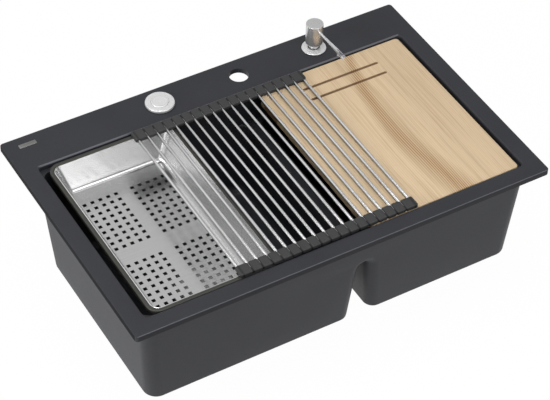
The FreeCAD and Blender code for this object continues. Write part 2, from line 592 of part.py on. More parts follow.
def dispenser_pump():
    """Barrel, return spring, dip tube, piston stem, head and spout."""
    where = ("dispenser_x", "fittings_y", "rim_height")
    guide = "(stem_radius + stem_clearance)"
    flange_foot = "(-collar_step_drop - barrel_flange_height)"
    turned("pump_barrel", [
        (guide, "barrel_top"), ("barrel_radius", "barrel_top"), ("barrel_radius", "-collar_step_drop"),
        ("barrel_flange_radius", "-collar_step_drop"), ("barrel_flange_radius", flange_foot),
        ("barrel_radius", flange_foot), ("barrel_radius", "-barrel_drop"), ("spigot_radius", "-barrel_drop"),
        ("spigot_radius", "-barrel_drop - spigot_length"), ("spigot_bore", "-barrel_drop - spigot_length"),
        ("spigot_bore", "-barrel_drop + barrel_floor"), ("barrel_bore", "-barrel_drop + barrel_floor"),
        ("barrel_bore", "barrel_top - barrel_cap_height"), (guide, "barrel_top - barrel_cap_height")], *where)
    washer("dip_tube", "spigot_radius", "dip_tube_radius", "-dip_tube_foot", "-barrel_drop", *where)
    piston_foot = "(-piston_top_drop - piston_height)"
    turned("pump_stem", [
        ("stem_bore", piston_foot), ("piston_radius", piston_foot), ("piston_radius", "-piston_top_drop"),
        ("stem_radius", "-piston_top_drop"), ("stem_radius", "stem_top"), ("stem_bore", "stem_top")], *where)
    coil_spring("pump_spring", "pump_coil_radius", "pump_wire", "pump_coil_turns",
                f"({piston_foot} + barrel_drop - barrel_floor)", "dispenser_x", "fittings_y",
                "rim_height - barrel_drop + barrel_floor")
    head = turned("pump_head", [
        ("stem_radius", "sleeve_roof"), ("sleeve_bore", "sleeve_roof"), ("sleeve_bore", "sleeve_bottom"),
        ("sleeve_radius", "sleeve_bottom"), ("sleeve_radius", "head_shoulder"),
        ("head_radius", "head_shoulder"), ("head_radius", "head_top"), ("0", "head_top"),
        ("0", "spout_height"), ("stem_bore", "spout_height"), ("stem_bore", "stem_top"),
        ("stem_radius", "stem_top")], *where)
    round_edges(head, "head_underside", "head_underside_round", ring_at("head_radius", "head_shoulder"))
    round_edges(head, "head_rim", "head_top_round", ring_at("head_radius", "head_top"))
    for name, radius, outwards, length in (
            ("spout_socket", "spout_radius", True, "head_radius"),
            ("spout_channel", "spout_bore", False, "head_radius - spout_socket")):
        sketch = new_sketch(head, f"{name}_outline", "XZ_Plane", "head_radius - spout_socket")
        circle(sketch, radius, "0", "spout_height")
        doc.recompute()
        cut(head, "Pocket", name, sketch, Reversed=outwards, Length=length)


def spout():
    """A thin tube that leaves the head level and turns down at its tip."""
    body = new_body("spout")
    section = new_sketch(body, "spout_section", "XZ_Plane", "head_radius - spout_socket")
    circle(section, "spout_radius", "0", "spout_height")
    circle(section, "spout_bore", "0", "spout_height")
    path = new_sketch(body, "spout_path", "YZ_Plane")
    level = path.addGeometry(Part.LineSegment(Vector(-12, 48, 0), Vector(-88, 48, 0)))
    ring = Part.Circle(Vector(-88, 44, 0), Vector(0, 0, 1), 4)
    bend = path.addGeometry(Part.ArcOfCircle(ring, math.pi / 2, math.pi))
    drop = path.addGeometry(Part.LineSegment(Vector(-92, 44, 0), Vector(-92, 42, 0)))
    path.addConstraint(Sketcher.Constraint("Tangent", level, 2, bend, 1))
    path.addConstraint(Sketcher.Constraint("Tangent", bend, 2, drop, 1))
    path.addConstraint(Sketcher.Constraint("Horizontal", level))
    path.addConstraint(Sketcher.Constraint("Vertical", drop))
    bind(path, "Radius", "spout_bend", bend)
    pin_point(path, level, 1, "-(head_radius - spout_socket)", "spout_height")
    pin_point(path, drop, 2, "-spout_reach", "spout_height - spout_bend - spout_drop")
    doc.recompute()
    pipe = body.newObject("PartDesign::AdditivePipe", "spout_pipe")
    pipe.Profile = section
    pipe.Spine = (path, ["Edge1", "Edge2", "Edge3"])
    place(body, "dispenser_x", "fittings_y", "rim_height")
    doc.recompute()


# ---------------------------------------------------------------- wastes
def waste(side, x, hole_radius):
    """Flange, seals and cup of one bowl's waste; heights are measured from the bowl floor."""
    where = (x, "waste_y", BOWL_FLOOR)
    rim_top = "(waste_seal_height + waste_flange_height)"
    plate_top = "(-waste_throat_depth + waste_steel)"
    flange = turned(f"waste_flange_{side}", [
        ("waste_seat_radius", rim_top), ("waste_flange_radius", rim_top),
        ("waste_flange_radius", "waste_seal_height"), ("waste_throat_radius", "waste_seal_height"),
        ("waste_throat_radius", "-waste_throat_depth"), (hole_radius, "-waste_throat_depth"),
        (hole_radius, plate_top), ("waste_throat_radius - waste_steel", plate_top),
        ("waste_throat_radius - waste_steel", f"{rim_top} - waste_steel")], *where)
    polar_holes(flange, f"waste_drains_{side}", "waste_drain_radius", ["waste_drain_circle"],
                "waste_drain_count", "waste_steel", plate_top)
    washer(f"waste_seal_{side}", "waste_seal_inner", "waste_seal_outer", "0", "waste_seal_height", *where)
    washer(f"waste_gasket_{side}", "waste_gasket_inner", "waste_gasket_outer",
           "-floor_thickness - waste_gasket_height", "-floor_thickness", *where)
    waste_cup(f"waste_cup_{side}", where, hole_radius)


def waste_cup(label, where, hole_radius):
    """The cup that hangs under a bowl, with its threaded outlet and a bridge for the screw."""
    top = "(-floor_thickness - waste_gasket_height)"
    cone = "(cup_cone_top + cup_cone_height)"
    outlet_foot = f"(-{cone} - cup_floor - outlet_length)"
    cup = turned(label, [
        ("cup_bore", top), ("cup_rim_radius", top), ("cup_rim_radius", f"{top} - cup_rim_height"),
        ("cup_radius", f"{top} - cup_rim_height"), ("cup_radius", "-cup_cone_top - cup_floor"),
        ("outlet_radius", f"-{cone} - cup_floor"), ("outlet_radius", outlet_foot),
        ("outlet_bore", outlet_foot), ("outlet_bore", f"-{cone}"), ("cup_bore", "-cup_cone_top")], *where)
    boss = new_sketch(cup, f"{label}_boss_outline", offset="-cup_boss_top")
    circle(boss, "cup_boss_radius")
    doc.recompute()
    add_feature(cup, "Pad", f"{label}_boss", boss, Reversed=True, Length="cup_boss_height")
    for name, half_x, half_y in (("long", "cup_rib_half", "cup_rib_half_width"),
                                 ("cross", "cup_rib_half_width", "cup_rib_half")):
        rib = new_sketch(cup, f"{label}_{name}_outline", offset="-cup_rib_top")
        polygon(rib, [(f"-{half_x}", f"-{half_y}"), (half_x, f"-{half_y}"), (half_x, half_y),
                      (f"-{half_x}", half_y)])
        doc.recompute()
        add_feature(cup, "Pad", f"{label}_{name}_rib", rib, Reversed=True, Length="cup_rib_height")
    bore = new_sketch(cup, f"{label}_bore_outline", offset="-cup_boss_top")
    circle(bore, hole_radius)
    doc.recompute()
    cut(cup, "Pocket", f"{label}_bore", bore, Length="cup_boss_height")


def pop_up_waste():
    """The left bowl's waste: a hollow screw, the pin that runs in it and the plug that it lifts."""
    where = ("waste_left_x", "waste_y", BOWL_FLOOR)
    waste("left", "waste_left_x", "(tube_screw_radius + screw_clearance)")
    plate_top = "(-waste_throat_depth + waste_steel)"
    head_top = f"({plate_top} + tube_screw_head_height)"
    screw = turned("waste_screw_left", [
        ("tube_screw_bore", head_top), ("tube_screw_head_radius", head_top),
        ("tube_screw_head_radius", plate_top), ("tube_screw_radius", plate_top),
        ("tube_screw_radius", f"{plate_top} - screw_length"),
        ("tube_screw_bore", f"{plate_top} - screw_length")], *where)
    round_edges(screw, "tube_screw_edge", "screw_head_round", ring_at("tube_screw_head_radius", head_top))
    seat = "(waste_seal_height + waste_flange_height)"
    plug = turned("strainer_plug_left", [
        ("0", f"{seat} + plug_height"), ("plug_radius", f"{seat} + plug_height"), ("plug_radius", seat),
        ("plug_post_radius", seat), ("plug_post_radius", "-plug_post_foot"), ("0", "-plug_post_foot")],
        *where)
    round_edges(plug, "plug_edge", "plug_round", ring_at("plug_radius", f"{seat} + plug_height"))
    turned("lift_pin_left", [("0", "-plug_post_foot"), ("lift_pin_radius", "-plug_post_foot"),
                             ("lift_pin_radius", "-lift_pin_foot"), ("0", "-lift_pin_foot")], *where)


def basket_waste():
    """The right bowl's waste: a solid screw and a strainer basket that lifts out by its knob."""
    where = ("waste_right_x", "waste_y", BOWL_FLOOR)
    waste("right", "waste_right_x", "(screw_radius + screw_clearance)")
    plate_top = "(-waste_throat_depth + waste_steel)"
    head_top = f"({plate_top} + screw_head_height)"
    screw = turned("waste_screw_right", [
        ("0", head_top), ("screw_head_radius", head_top), ("screw_head_radius", plate_top),
        ("screw_radius", plate_top), ("screw_radius", f"{plate_top} - screw_length"),
        ("0", f"{plate_top} - screw_length")], *where)
    round_edges(screw, "screw_edge", "screw_head_round", ring_at("screw_head_radius", head_top))
    seat = "(waste_seal_height + waste_flange_height)"
    inside = "(basket_radius - basket_wall)"
    basket = turned("strainer_basket_right", [
        (inside, f"{seat} + basket_rim_height"), ("basket_rim_radius", f"{seat} + basket_rim_height"),
        ("basket_rim_radius", seat), ("basket_radius", seat), ("basket_radius", "-basket_foot"),
        ("0", "-basket_foot"), ("0", "basket_knob_top"), ("basket_knob_radius", "basket_knob_top"),
        ("basket_knob_radius", "-basket_foot + basket_wall"), (inside, "-basket_foot + basket_wall")],
        *where)
    round_edges(basket, "basket_knob_edge", "basket_knob_round",
                ring_at("basket_knob_radius", "basket_knob_top"))
    circles = [f"(basket_hole_circle + {step} * basket_hole_step)" for step in range(3)]
    polar_holes(basket, "basket_holes", "basket_hole_radius", circles, "basket_hole_count",
                "basket_wall", "-basket_foot + basket_wall")


# ---------------------------------------------------------------- overflow
def overflow():
    """Cover, screw, seal and elbow, modelled upright and laid with their axis to the rear."""
    laid_back = FreeCAD.Rotation(Vector(1, 0, 0), -90)
    where = ("overflow_x", "overflow_seat_y", "overflow_z")
    cover = turned("overflow_cover", [
        ("overflow_screw_hole", "-overflow_cover_height"), ("overflow_cover_radius", "-overflow_cover_height"),
        ("overflow_cover_radius", "0"), ("overflow_screw_hole", "0")], *where)
    polar_holes(cover, "overflow_slots", "overflow_slot_radius", ["overflow_slot_circle"],
                "overflow_slot_count", "overflow_cover_height", "0")
    screw_top = "(-overflow_cover_height - overflow_screw_head_height)"
    screw_foot = "(overflow_screw_length - overflow_cover_height)"
    screw = turned("overflow_screw", [
        ("0", screw_top), ("overflow_screw_head_radius", screw_top),
        ("overflow_screw_head_radius", "-overflow_cover_height"),
        ("overflow_screw_radius", "-overflow_cover_height"), ("overflow_screw_radius", screw_foot),
        ("0", screw_foot)], *where)
    seal = washer("overflow_seal", "overflow_seal_inner", "overflow_seal_outer", "overflow_wall",
                  "overflow_wall + overflow_seal_height", *where)
    near = "(overflow_wall + overflow_seal_height)"
    inner_end = f"({near} + elbow_depth - elbow_wall)"
    elbow = turned("overflow_elbow", [
        ("elbow_bore", near), ("elbow_flange_radius", near),
        ("elbow_flange_radius", f"{near} + elbow_flange_height"),
        ("elbow_radius", f"{near} + elbow_flange_height"), ("elbow_radius", f"{near} + elbow_depth"),
        ("0", f"{near} + elbow_depth"), ("0", f"{inner_end} - elbow_wall / 2"),
        ("overflow_screw_radius + thread_clearance", f"{inner_end} - elbow_wall / 2"),
        ("overflow_screw_radius + thread_clearance", "elbow_boss_start"),
        ("elbow_boss_radius", "elbow_boss_start"), ("elbow_boss_radius", inner_end),
        ("elbow_bore", inner_end)], *where)
    mouth = new_sketch(elbow, "hose_spigot_outline", "XZ_Plane", "-hose_spigot_reach")
    circle(mouth, "hose_spigot_radius", "0", "hose_spigot_axis")
    doc.recompute()
    add_feature(elbow, "Pad", "hose_spigot", mouth, Length="hose_spigot_reach - elbow_bore + elbow_wall / 2")
    collar = new_sketch(elbow, "hose_collar_outline", "XZ_Plane", "-hose_collar_reach")
    circle(collar, "hose_collar_radius", "0", "hose_spigot_axis")
    doc.recompute()
    add_feature(elbow, "Pad", "hose_collar", collar,
                Length="hose_collar_reach - elbow_bore + elbow_wall / 2")
    bore = new_sketch(elbow, "hose_bore_outline", "XZ_Plane", "-hose_spigot_reach")
    circle(bore, "hose_spigot_bore", "0", "hose_spigot_axis")
    doc.recompute()
    cut(elbow, "Pocket", "hose_bore", bore, Reversed=True, Length="hose_spigot_reach - elbow_bore + elbow_wall")
    for item in (cover, screw, seal, elbow):
        item.Placement.Rotation = laid_back


# ---------------------------------------------------------------- colander
def colander_rim():
    """The dark band around the tray, which rests on the ledges."""
    body = new_body("colander_rim")
    sketch = new_sketch(body, "rim_outline", offset=LEDGE)
    rounded_rectangle(sketch, "colander_left", "colander_right", "-rest_front", "rest_rear",
                      "colander_corner")
    rounded_rectangle(sketch, "colander_left + rim_band", "colander_right - rim_band", "-tray_front",
                      "tray_rear", "tray_corner")
    doc.recompute()
    add_feature(body, "Pad", "rim_band_pad", sketch, Length="ledge_drop - accessory_drop")
    round_edges(body, "rim_edge", "colander_rim_round", level_at(ACCESSORY_TOP))


def tray_outline(body, name, height, inset_x, inset_y, corner):
    """One level of the tray, drawn in from the rim's inner edge."""
    sketch = new_sketch(body, name, offset=height)
    rounded_rectangle(sketch, f"colander_left + rim_band + {inset_x}",
                      f"colander_right - rim_band - {inset_x}", f"-tray_front + {inset_y}",
                      f"tray_rear - {inset_y}", corner)
    return sketch


def colander_tray():
    """The pressed steel tray with four groups of square holes."""
    body = new_body("colander_tray")
    top = f"({ACCESSORY_TOP} - tray_edge_drop)"
    floor = "(rim_height - tray_depth)"
    outer = (tray_outline(body, "tray_outer_top", top, "0", "0", "tray_corner"),
             tray_outline(body, "tray_outer_base", f"{floor} - steel", "tray_slope_x", "tray_slope_y",
                          "tray_base_corner"))
    inner = (tray_outline(body, "tray_inner_top", top, "steel", "steel", "tray_corner - steel"),
             tray_outline(body, "tray_inner_base", floor, "(tray_slope_x + steel)",
                          "(tray_slope_y + steel)", "tray_base_corner - steel"))
    doc.recompute()
    loft(body, "AdditiveLoft", "tray_outside", *outer)
    loft(body, "SubtractiveLoft", "tray_inside", *inner)
    round_edges(body, "tray_outer_fold", "tray_fold + steel", level_at(f"{floor} - steel"))
    round_edges(body, "tray_inner_fold", "tray_fold", level_at(floor))
    sketch = new_sketch(body, "hole_outline", offset=floor)
    left, right = "hole_first_x - hole_side / 2", "hole_first_x + hole_side / 2"
    front, rear = "hole_first_y - hole_side / 2", "hole_first_y + hole_side / 2"
    polygon(sketch, [(left, front), (right, front), (right, rear), (left, rear)])
    doc.recompute()
    pocket = cut(body, "Pocket", "first_hole", sketch, Length="steel")
    holes = body.newObject("PartDesign::MultiTransform", "holes")
    holes.Originals = [pocket]
    steps = [("H_Axis", False, "hole_pitch_x * (hole_columns - 1)", "hole_columns"),
             ("V_Axis", True, "hole_pitch_y * (hole_rows - 1)", "hole_rows"),
             ("H_Axis", False, "hole_group_step_x", "2"), ("V_Axis", True, "hole_group_step_y", "2")]
    patterns = []
    for number, (axis, backwards, length, count) in enumerate(steps):
        pattern = body.newObject("PartDesign::LinearPattern", f"hole_pattern_{number}")
        pattern.Direction = (sketch, [axis])
        pattern.Reversed = backwards
        pattern.setExpression("Length", cell(length))
        pattern.setExpression("Occurrences", cell(count))
        patterns.append(pattern)
    holes.Transformations = patterns
    body.Tip = holes
    doc.recompute()


# ---------------------------------------------------------------- cutting board
def cutting_board():
    """The wooden board: a lip that rests on the ledges and a core that drops between them."""
    body = new_body("cutting_board")
    lip = new_sketch(body, "board_lip_outline", offset=LEDGE)
    rounded_rectangle(lip, "board_left", "board_right", "-rest_front", "rest_rear", "board_corner")
    doc.recompute()
    add_feature(body, "Pad", "board_lip", lip, Length="ledge_drop - accessory_drop")
    core = new_sketch(body, "board_core_outline", offset=LEDGE)
    rounded_rectangle(core, "board_left", "board_right - board_core_inset", "-board_core_front",
                      "board_core_rear", "board_core_corner")
    doc.recompute()
    add_feature(body, "Pad", "board_core", core, Reversed=True,
                Length="board_thickness - ledge_drop + accessory_drop")
    round_edges(body, "board_edge", "board_edge_round", level_at(ACCESSORY_TOP))
    grooves = new_sketch(body, "groove_outlines", offset=ACCESSORY_TOP)
    for row in range(2):
        middle = f"(groove_rear_y - {row} * groove_pitch)"
        rounded_rectangle(grooves, "groove_left", "groove_right", f"{middle} - groove_width / 2",
                          f"{middle} + groove_width / 2", "groove_width / 2 - thread_clearance")
    doc.recompute()
    cut(body, "Pocket", "grooves", grooves, Length="groove_depth")


# ---------------------------------------------------------------- roll-up mat
def mat_panel(number, first_rod, rod_count):
    """One stiff panel of the mat: a few rods in a front and a rear strip."""
    last_rod = first_rod + rod_count - 1
    end_rods = (0, sum(MAT_RODS_PER_PANEL) - 1)
    left, right = ("mat_end" if rod in end_rods else "rod_pitch / 2" for rod in (first_rod, last_rod))
    axes = {rod: f"(rod_first_x + rod_pitch * {rod})" for rod in range(first_rod, last_rod + 1)}
    creased = [axis for rod, axis in axes.items() if rod not in end_rods]
    mat_strips(number, f"({axes[first_rod]} - {left})", f"({axes[last_rod]} + {right})", axes.values(),
               creased)
    mat_rods(number, axes.values())


def mat_strips(number, left, right, axes, creased):
    """The panel's piece of both silicone strips, bored for the rods and creased above the inner ones."""
    body = new_body(f"mat_strips_{number}")
    sketch = new_sketch(body, f"strip_outlines_{number}", offset=ACCESSORY_TOP)
    for near, far in (("-mat_front", "-mat_front + strip_width"), ("mat_rear - strip_width", "mat_rear")):
        polygon(sketch, [(left, near), (right, near), (right, far), (left, far)])
    doc.recompute()
    add_feature(body, "Pad", f"strips_{number}", sketch, Length="strip_height")
    bores = new_sketch(body, f"rod_bores_{number}", "XZ_Plane", "-(mat_rear - rod_end_inset)")
    for axis in axes:
        circle(bores, "rod_radius", axis, f"{ACCESSORY_TOP} + rod_axis_height")
    doc.recompute()
    cut(body, "Pocket", f"bores_{number}", bores, Reversed=True,
        Length="mat_front + mat_rear - 2 * rod_end_inset")
    top = f"({ACCESSORY_TOP} + strip_height)"
    creases = new_sketch(body, f"crease_outlines_{number}", "XZ_Plane", "-mat_rear")
    for axis in creased:
        polygon(creases, [(f"{axis} - crease_half", top), (axis, f"{top} - crease_depth"),
                          (f"{axis} + crease_half", top)])
    doc.recompute()
    cut(body, "Pocket", f"creases_{number}", creases, Reversed=True, Length="mat_front + mat_rear")


def mat_rods(number, axes):
    """The panel's steel rods."""
    rods = []
    for axis in axes:
        rod = doc.addObject("Part::Cylinder", f"rod_{number}_{len(rods)}")
        rod.setExpression("Radius", cell("rod_radius"))
        rod.setExpression("Height", cell("mat_front + mat_rear - 2 * rod_end_inset"))
        place(rod, axis, "-mat_front + rod_end_inset", f"{ACCESSORY_TOP} + rod_axis_height")
        rod.Placement.Rotation = FreeCAD.Rotation(Vector(1, 0, 0), -90)
        rods.append(rod)
    group = doc.addObject("Part::Compound", f"mat_rods_{number}")
    group.Links = rods
    group.Label = f"mat_rods_{number}"
    sub_parts.append(group)


def roll_up_mat():
    """Every panel of the mat, from the left end to the right end."""
    first_rod = 0
    for number, rod_count in enumerate(MAT_RODS_PER_PANEL, start=1):
        mat_panel(number, first_rod, rod_count)
        first_rod += rod_count


# ---------------------------------------------------------------- build, check and write
def check_document():
    """Stop if an object failed or a sub-part has no sound shape."""
    failed = [item.Name for item in doc.Objects if "Invalid" in item.State or "Error" in item.State]
    failed += [item.Label for item in sub_parts if item.Shape.isNull() or not item.Shape.isValid()]
    if failed:
        raise RuntimeError(f"failed or unsound: {failed}")


def write_parts():
    """Write one STEP file per sub-part, named after its node."""
    os.makedirs("parts", exist_ok=True)
    for item in sub_parts:
        item.Shape.exportStep(f"parts/{item.Label}.step")
        box = item.Shape.BoundBox
        print(f"{item.Label}: {len(item.Shape.Solids)} solid(s), {item.Shape.Volume / 1000:.2f} cm3, "
              f"{box.XLength:.1f} x {box.YLength:.1f} x {box.ZLength:.1f} mm")


sink_body()
badge_plate()
button_control()
dispenser_fixing()
dispenser_pump()
spout()
pop_up_waste()
basket_waste()
overflow()
colander_rim()
colander_tray()
cutting_board()
roll_up_mat()
doc.recompute()
check_document()
write_parts()
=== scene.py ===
import logging
import math
from contextlib import contextmanager
from dataclasses import dataclass
from enum import Enum
from typing import Callable, Iterator, Sequence

import bmesh
import bpy
from bmesh.types import BMEdge, BMFace, BMVert
from bpy.types import ID, Material, Node, NodeSocket, NodeTree, Object
from mathutils import Matrix, Vector


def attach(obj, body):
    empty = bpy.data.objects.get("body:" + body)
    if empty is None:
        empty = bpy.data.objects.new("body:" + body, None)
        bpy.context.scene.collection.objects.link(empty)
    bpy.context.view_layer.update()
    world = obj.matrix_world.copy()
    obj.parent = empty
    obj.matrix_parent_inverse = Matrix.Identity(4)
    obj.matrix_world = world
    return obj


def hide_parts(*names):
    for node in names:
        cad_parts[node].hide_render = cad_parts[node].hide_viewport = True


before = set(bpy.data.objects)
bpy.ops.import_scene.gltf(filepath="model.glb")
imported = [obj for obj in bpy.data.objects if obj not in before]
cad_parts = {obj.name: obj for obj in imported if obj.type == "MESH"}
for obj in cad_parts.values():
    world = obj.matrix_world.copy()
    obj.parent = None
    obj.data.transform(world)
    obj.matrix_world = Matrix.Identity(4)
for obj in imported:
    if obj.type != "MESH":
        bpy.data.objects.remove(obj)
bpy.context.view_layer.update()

Pair = tuple[float, float]
Point = tuple[float, float, float]
Colour = tuple[float, float, float]
Outline = Sequence[Pair]

LOG = logging.getLogger("kitchen_sink")
# Metres in a millimetre. Sizes and places are in millimetres, patterns in features per metre.
MM = 0.001
# Two places that are closer than this, in millimetres, are one.
TOUCH = 0.01
# Most values of a soft noise lie between these two.
NOISE_LOW, NOISE_HIGH = 0.3, 0.7


def linear(colour: Colour) -> tuple[float, float, float, float]:
    """Turn a colour as seen on screen into the light values that a shader takes.

    Args:
        colour: Red, green and blue from 0 to 255.

    Returns:
        Red, green, blue and a full alpha, each from 0 to 1.
    """
    parts = [level / 255 for level in colour]
    lit = [part / 12.92 if part <= 0.04045 else ((part + 0.055) / 1.055) ** 2.4 for part in parts]
    return lit[0], lit[1], lit[2], 1.0


def shaded(colour: Colour, factor: float) -> Colour:
    """A darker or paler form of a screen colour."""
    return tuple(min(255.0, factor * part) for part in colour)


class NodeBoard:
    """A material's nodes, with short ways to add and join them."""

    def __init__(self, material: Material) -> None:
        """Start the material with one shader and the piece's own coordinates.

        Args:
            material: The new material.
        """
        material.use_nodes = True
        self.nodes = material.node_tree.nodes
        self.links = material.node_tree.links
        self.nodes.clear()
        self.output = self.add("ShaderNodeOutputMaterial")
        self.shader = self.add("ShaderNodeBsdfPrincipled")
        self.join(self.shader.outputs["BSDF"], self.output.inputs["Surface"])
        self.position: NodeSocket = self.add("ShaderNodeTexCoord").outputs["Object"]

    def add(self, kind: str, **settings: object) -> Node:
        """Add a node.

        Args:
            kind: The node's type.
            settings: Its properties.

        Returns:
            The new node.
        """
        node = self.nodes.new(kind)
        for key, value in settings.items():
            setattr(node, key, value)
        return node

    def join(self, source: NodeSocket, target: NodeSocket) -> None:
        """Link two sockets."""
        self.links.new(source, target)

    def give(self, node: Node, name: str | int, value: object) -> None:
        """Set an input, or link it where the value is another node's output.

        Args:
            node: The node that takes it.
            name: The input's name or number.
            value: A plain value or a socket.
        """
        if isinstance(value, NodeSocket):
            self.join(value, node.inputs[name])
        else:
            node.inputs[name].default_value = value

    def show(self, name: str, value: object) -> None:
        """Give the shader one of its inputs."""
        self.give(self.shader, name, value)

    def axes(self) -> tuple[NodeSocket, ...]:
        """The piece's own X, Y and Z in metres.

        Returns:
            The three values.
        """
        split = self.add("ShaderNodeSeparateXYZ")
        self.join(self.position, split.inputs[0])
        return tuple(split.outputs)

    def vector(self, *parts: NodeSocket | float) -> NodeSocket:
        """Coordinates from their parts.

        Args:
            parts: X, Y and Z.

        Returns:
            The coordinates.
        """
        node = self.add("ShaderNodeCombineXYZ")
        for axis, part in enumerate(parts):
            self.give(node, axis, part)
        return node.outputs[0]

    def placed(self, scale: Point, start: Point = (0, 0, 0)) -> NodeSocket:
        """Coordinates that are stretched and moved.

        Args:
            scale: Factors along X, Y and Z.
            start: What is added after scaling, in metres.

        Returns:
            The new coordinates.
        """
        node = self.add("ShaderNodeMapping")
        for name, value in (("Vector", self.position), ("Location", start), ("Scale", scale)):
            self.give(node, name, value)
        return node.outputs["Vector"]

    def noise(self, vector: NodeSocket, scale: float, detail: float = 3.0, rough: float = 0.5) -> NodeSocket:
        """Soft noise from 0 to 1.

        Args:
            vector: Where it is read.
            scale: Features per unit.
            detail: How many finer layers it has.
            rough: How strong these are.

        Returns:
            The noise.
        """
        node = self.add("ShaderNodeTexNoise")
        for name, value in (("Vector", vector), ("Scale", scale), ("Detail", detail), ("Roughness", rough)):
            self.give(node, name, value)
        return node.outputs["Fac"]

    def ranged(self, value: NodeSocket, low: float, high: float | NodeSocket, to_low: float = 0.0,
               to_high: float = 1.0) -> NodeSocket:
        """Stretch a range of values onto another and stop at its ends.

        Args:
            value: What is stretched.
            low: The value that gives to_low.
            high: The value that gives to_high.
            to_low: The result's first end.
            to_high: The result's other end.

        Returns:
            The result.
        """
        node = self.add("ShaderNodeMapRange")
        for name, part in (("Value", value), ("From Min", low), ("From Max", high), ("To Min", to_low),
                           ("To Max", to_high)):
            self.give(node, name, part)
        return node.outputs["Result"]

    def spread(self, noise: NodeSocket, to_low: float = 0.0, to_high: float = 1.0) -> NodeSocket:
        """Stretch a soft noise between two values."""
        return self.ranged(noise, NOISE_LOW, NOISE_HIGH, to_low, to_high)

    def blended(self, factor: NodeSocket | float, first: Colour | NodeSocket,
                second: Colour | NodeSocket) -> NodeSocket:
        """Mix two colours.

        Args:
            factor: How much of the second one shows.
            first: A screen colour or a socket.
            second: A screen colour or a socket.

        Returns:
            The mixed colour.
        """
        node = self.add("ShaderNodeMix", data_type="RGBA")
        self.give(node, 0, factor)
        for name, colour in (("A", first), ("B", second)):
            target = next(item for item in node.inputs if item.name == name and item.type == "RGBA")
            if isinstance(colour, NodeSocket):
                self.join(colour, target)
            else:
                target.default_value = linear(colour)
        return next(item for item in node.outputs if item.type == "RGBA")

    def maths(self, how: str, first: NodeSocket | float, second: NodeSocket | float = 0.0) -> NodeSocket:
        """One sum on two values.

        Args:
            how: The operation.
            first: Its first value.
            second: Its second value.

        Returns:
            The result.
        """
        node = self.add("ShaderNodeMath", operation=how)
        self.give(node, 0, first)
        self.give(node, 1, second)
        return node.outputs[0]

    def product(self, *values: NodeSocket | float) -> NodeSocket:
        """Multiply values.

        Args:
            values: Two or more of them.

        Returns:
            Their product.
        """
        result = values[0]
        for value in values[1:]:
            result = self.maths("MULTIPLY", result, value)
        return result

    def radius(self, centre: Pair) -> NodeSocket:
        """The distance in metres from an upright axis.

        Args:
            centre: The axis in millimetres.

        Returns:
            The distance.
        """
        moved = self.placed((1, 1, 0), (-centre[0] * MM, -centre[1] * MM, 0))
        node = self.add("ShaderNodeVectorMath", operation="LENGTH")
        self.join(moved, node.inputs[0])
        return node.outputs["Value"]

    def bump(self, height: NodeSocket, depth: float, strength: float = 0.5) -> None:
        """Roughen the surface.

        Args:
            height: The relief, from 0 to 1.
            depth: What 1 stands for, in millimetres.
            strength: How much of it shows.
        """
        node = self.add("ShaderNodeBump")
        for name, value in (("Strength", strength), ("Distance", depth * MM), ("Height", height)):
            self.give(node, name, value)
        self.show("Normal", node.outputs["Normal"])


@dataclass(frozen=True)
class Finish:
    """What a surface is made of. Each kind paints its own nodes."""

    name: str
    slot: str
    colour: Colour

    def paint(self, board: NodeBoard) -> None:
        """Set up the shader.

        Args:
            board: The material's nodes.
        """
        raise NotImplementedError

    def material(self) -> Material:
        """Make the material, or find it where it is made already.

        Returns:
            The material.
        """
        found = bpy.data.materials.get(self.name)
        if found is None:
            found = bpy.data.materials.new(self.name)
            self.paint(NodeBoard(found))
        return found


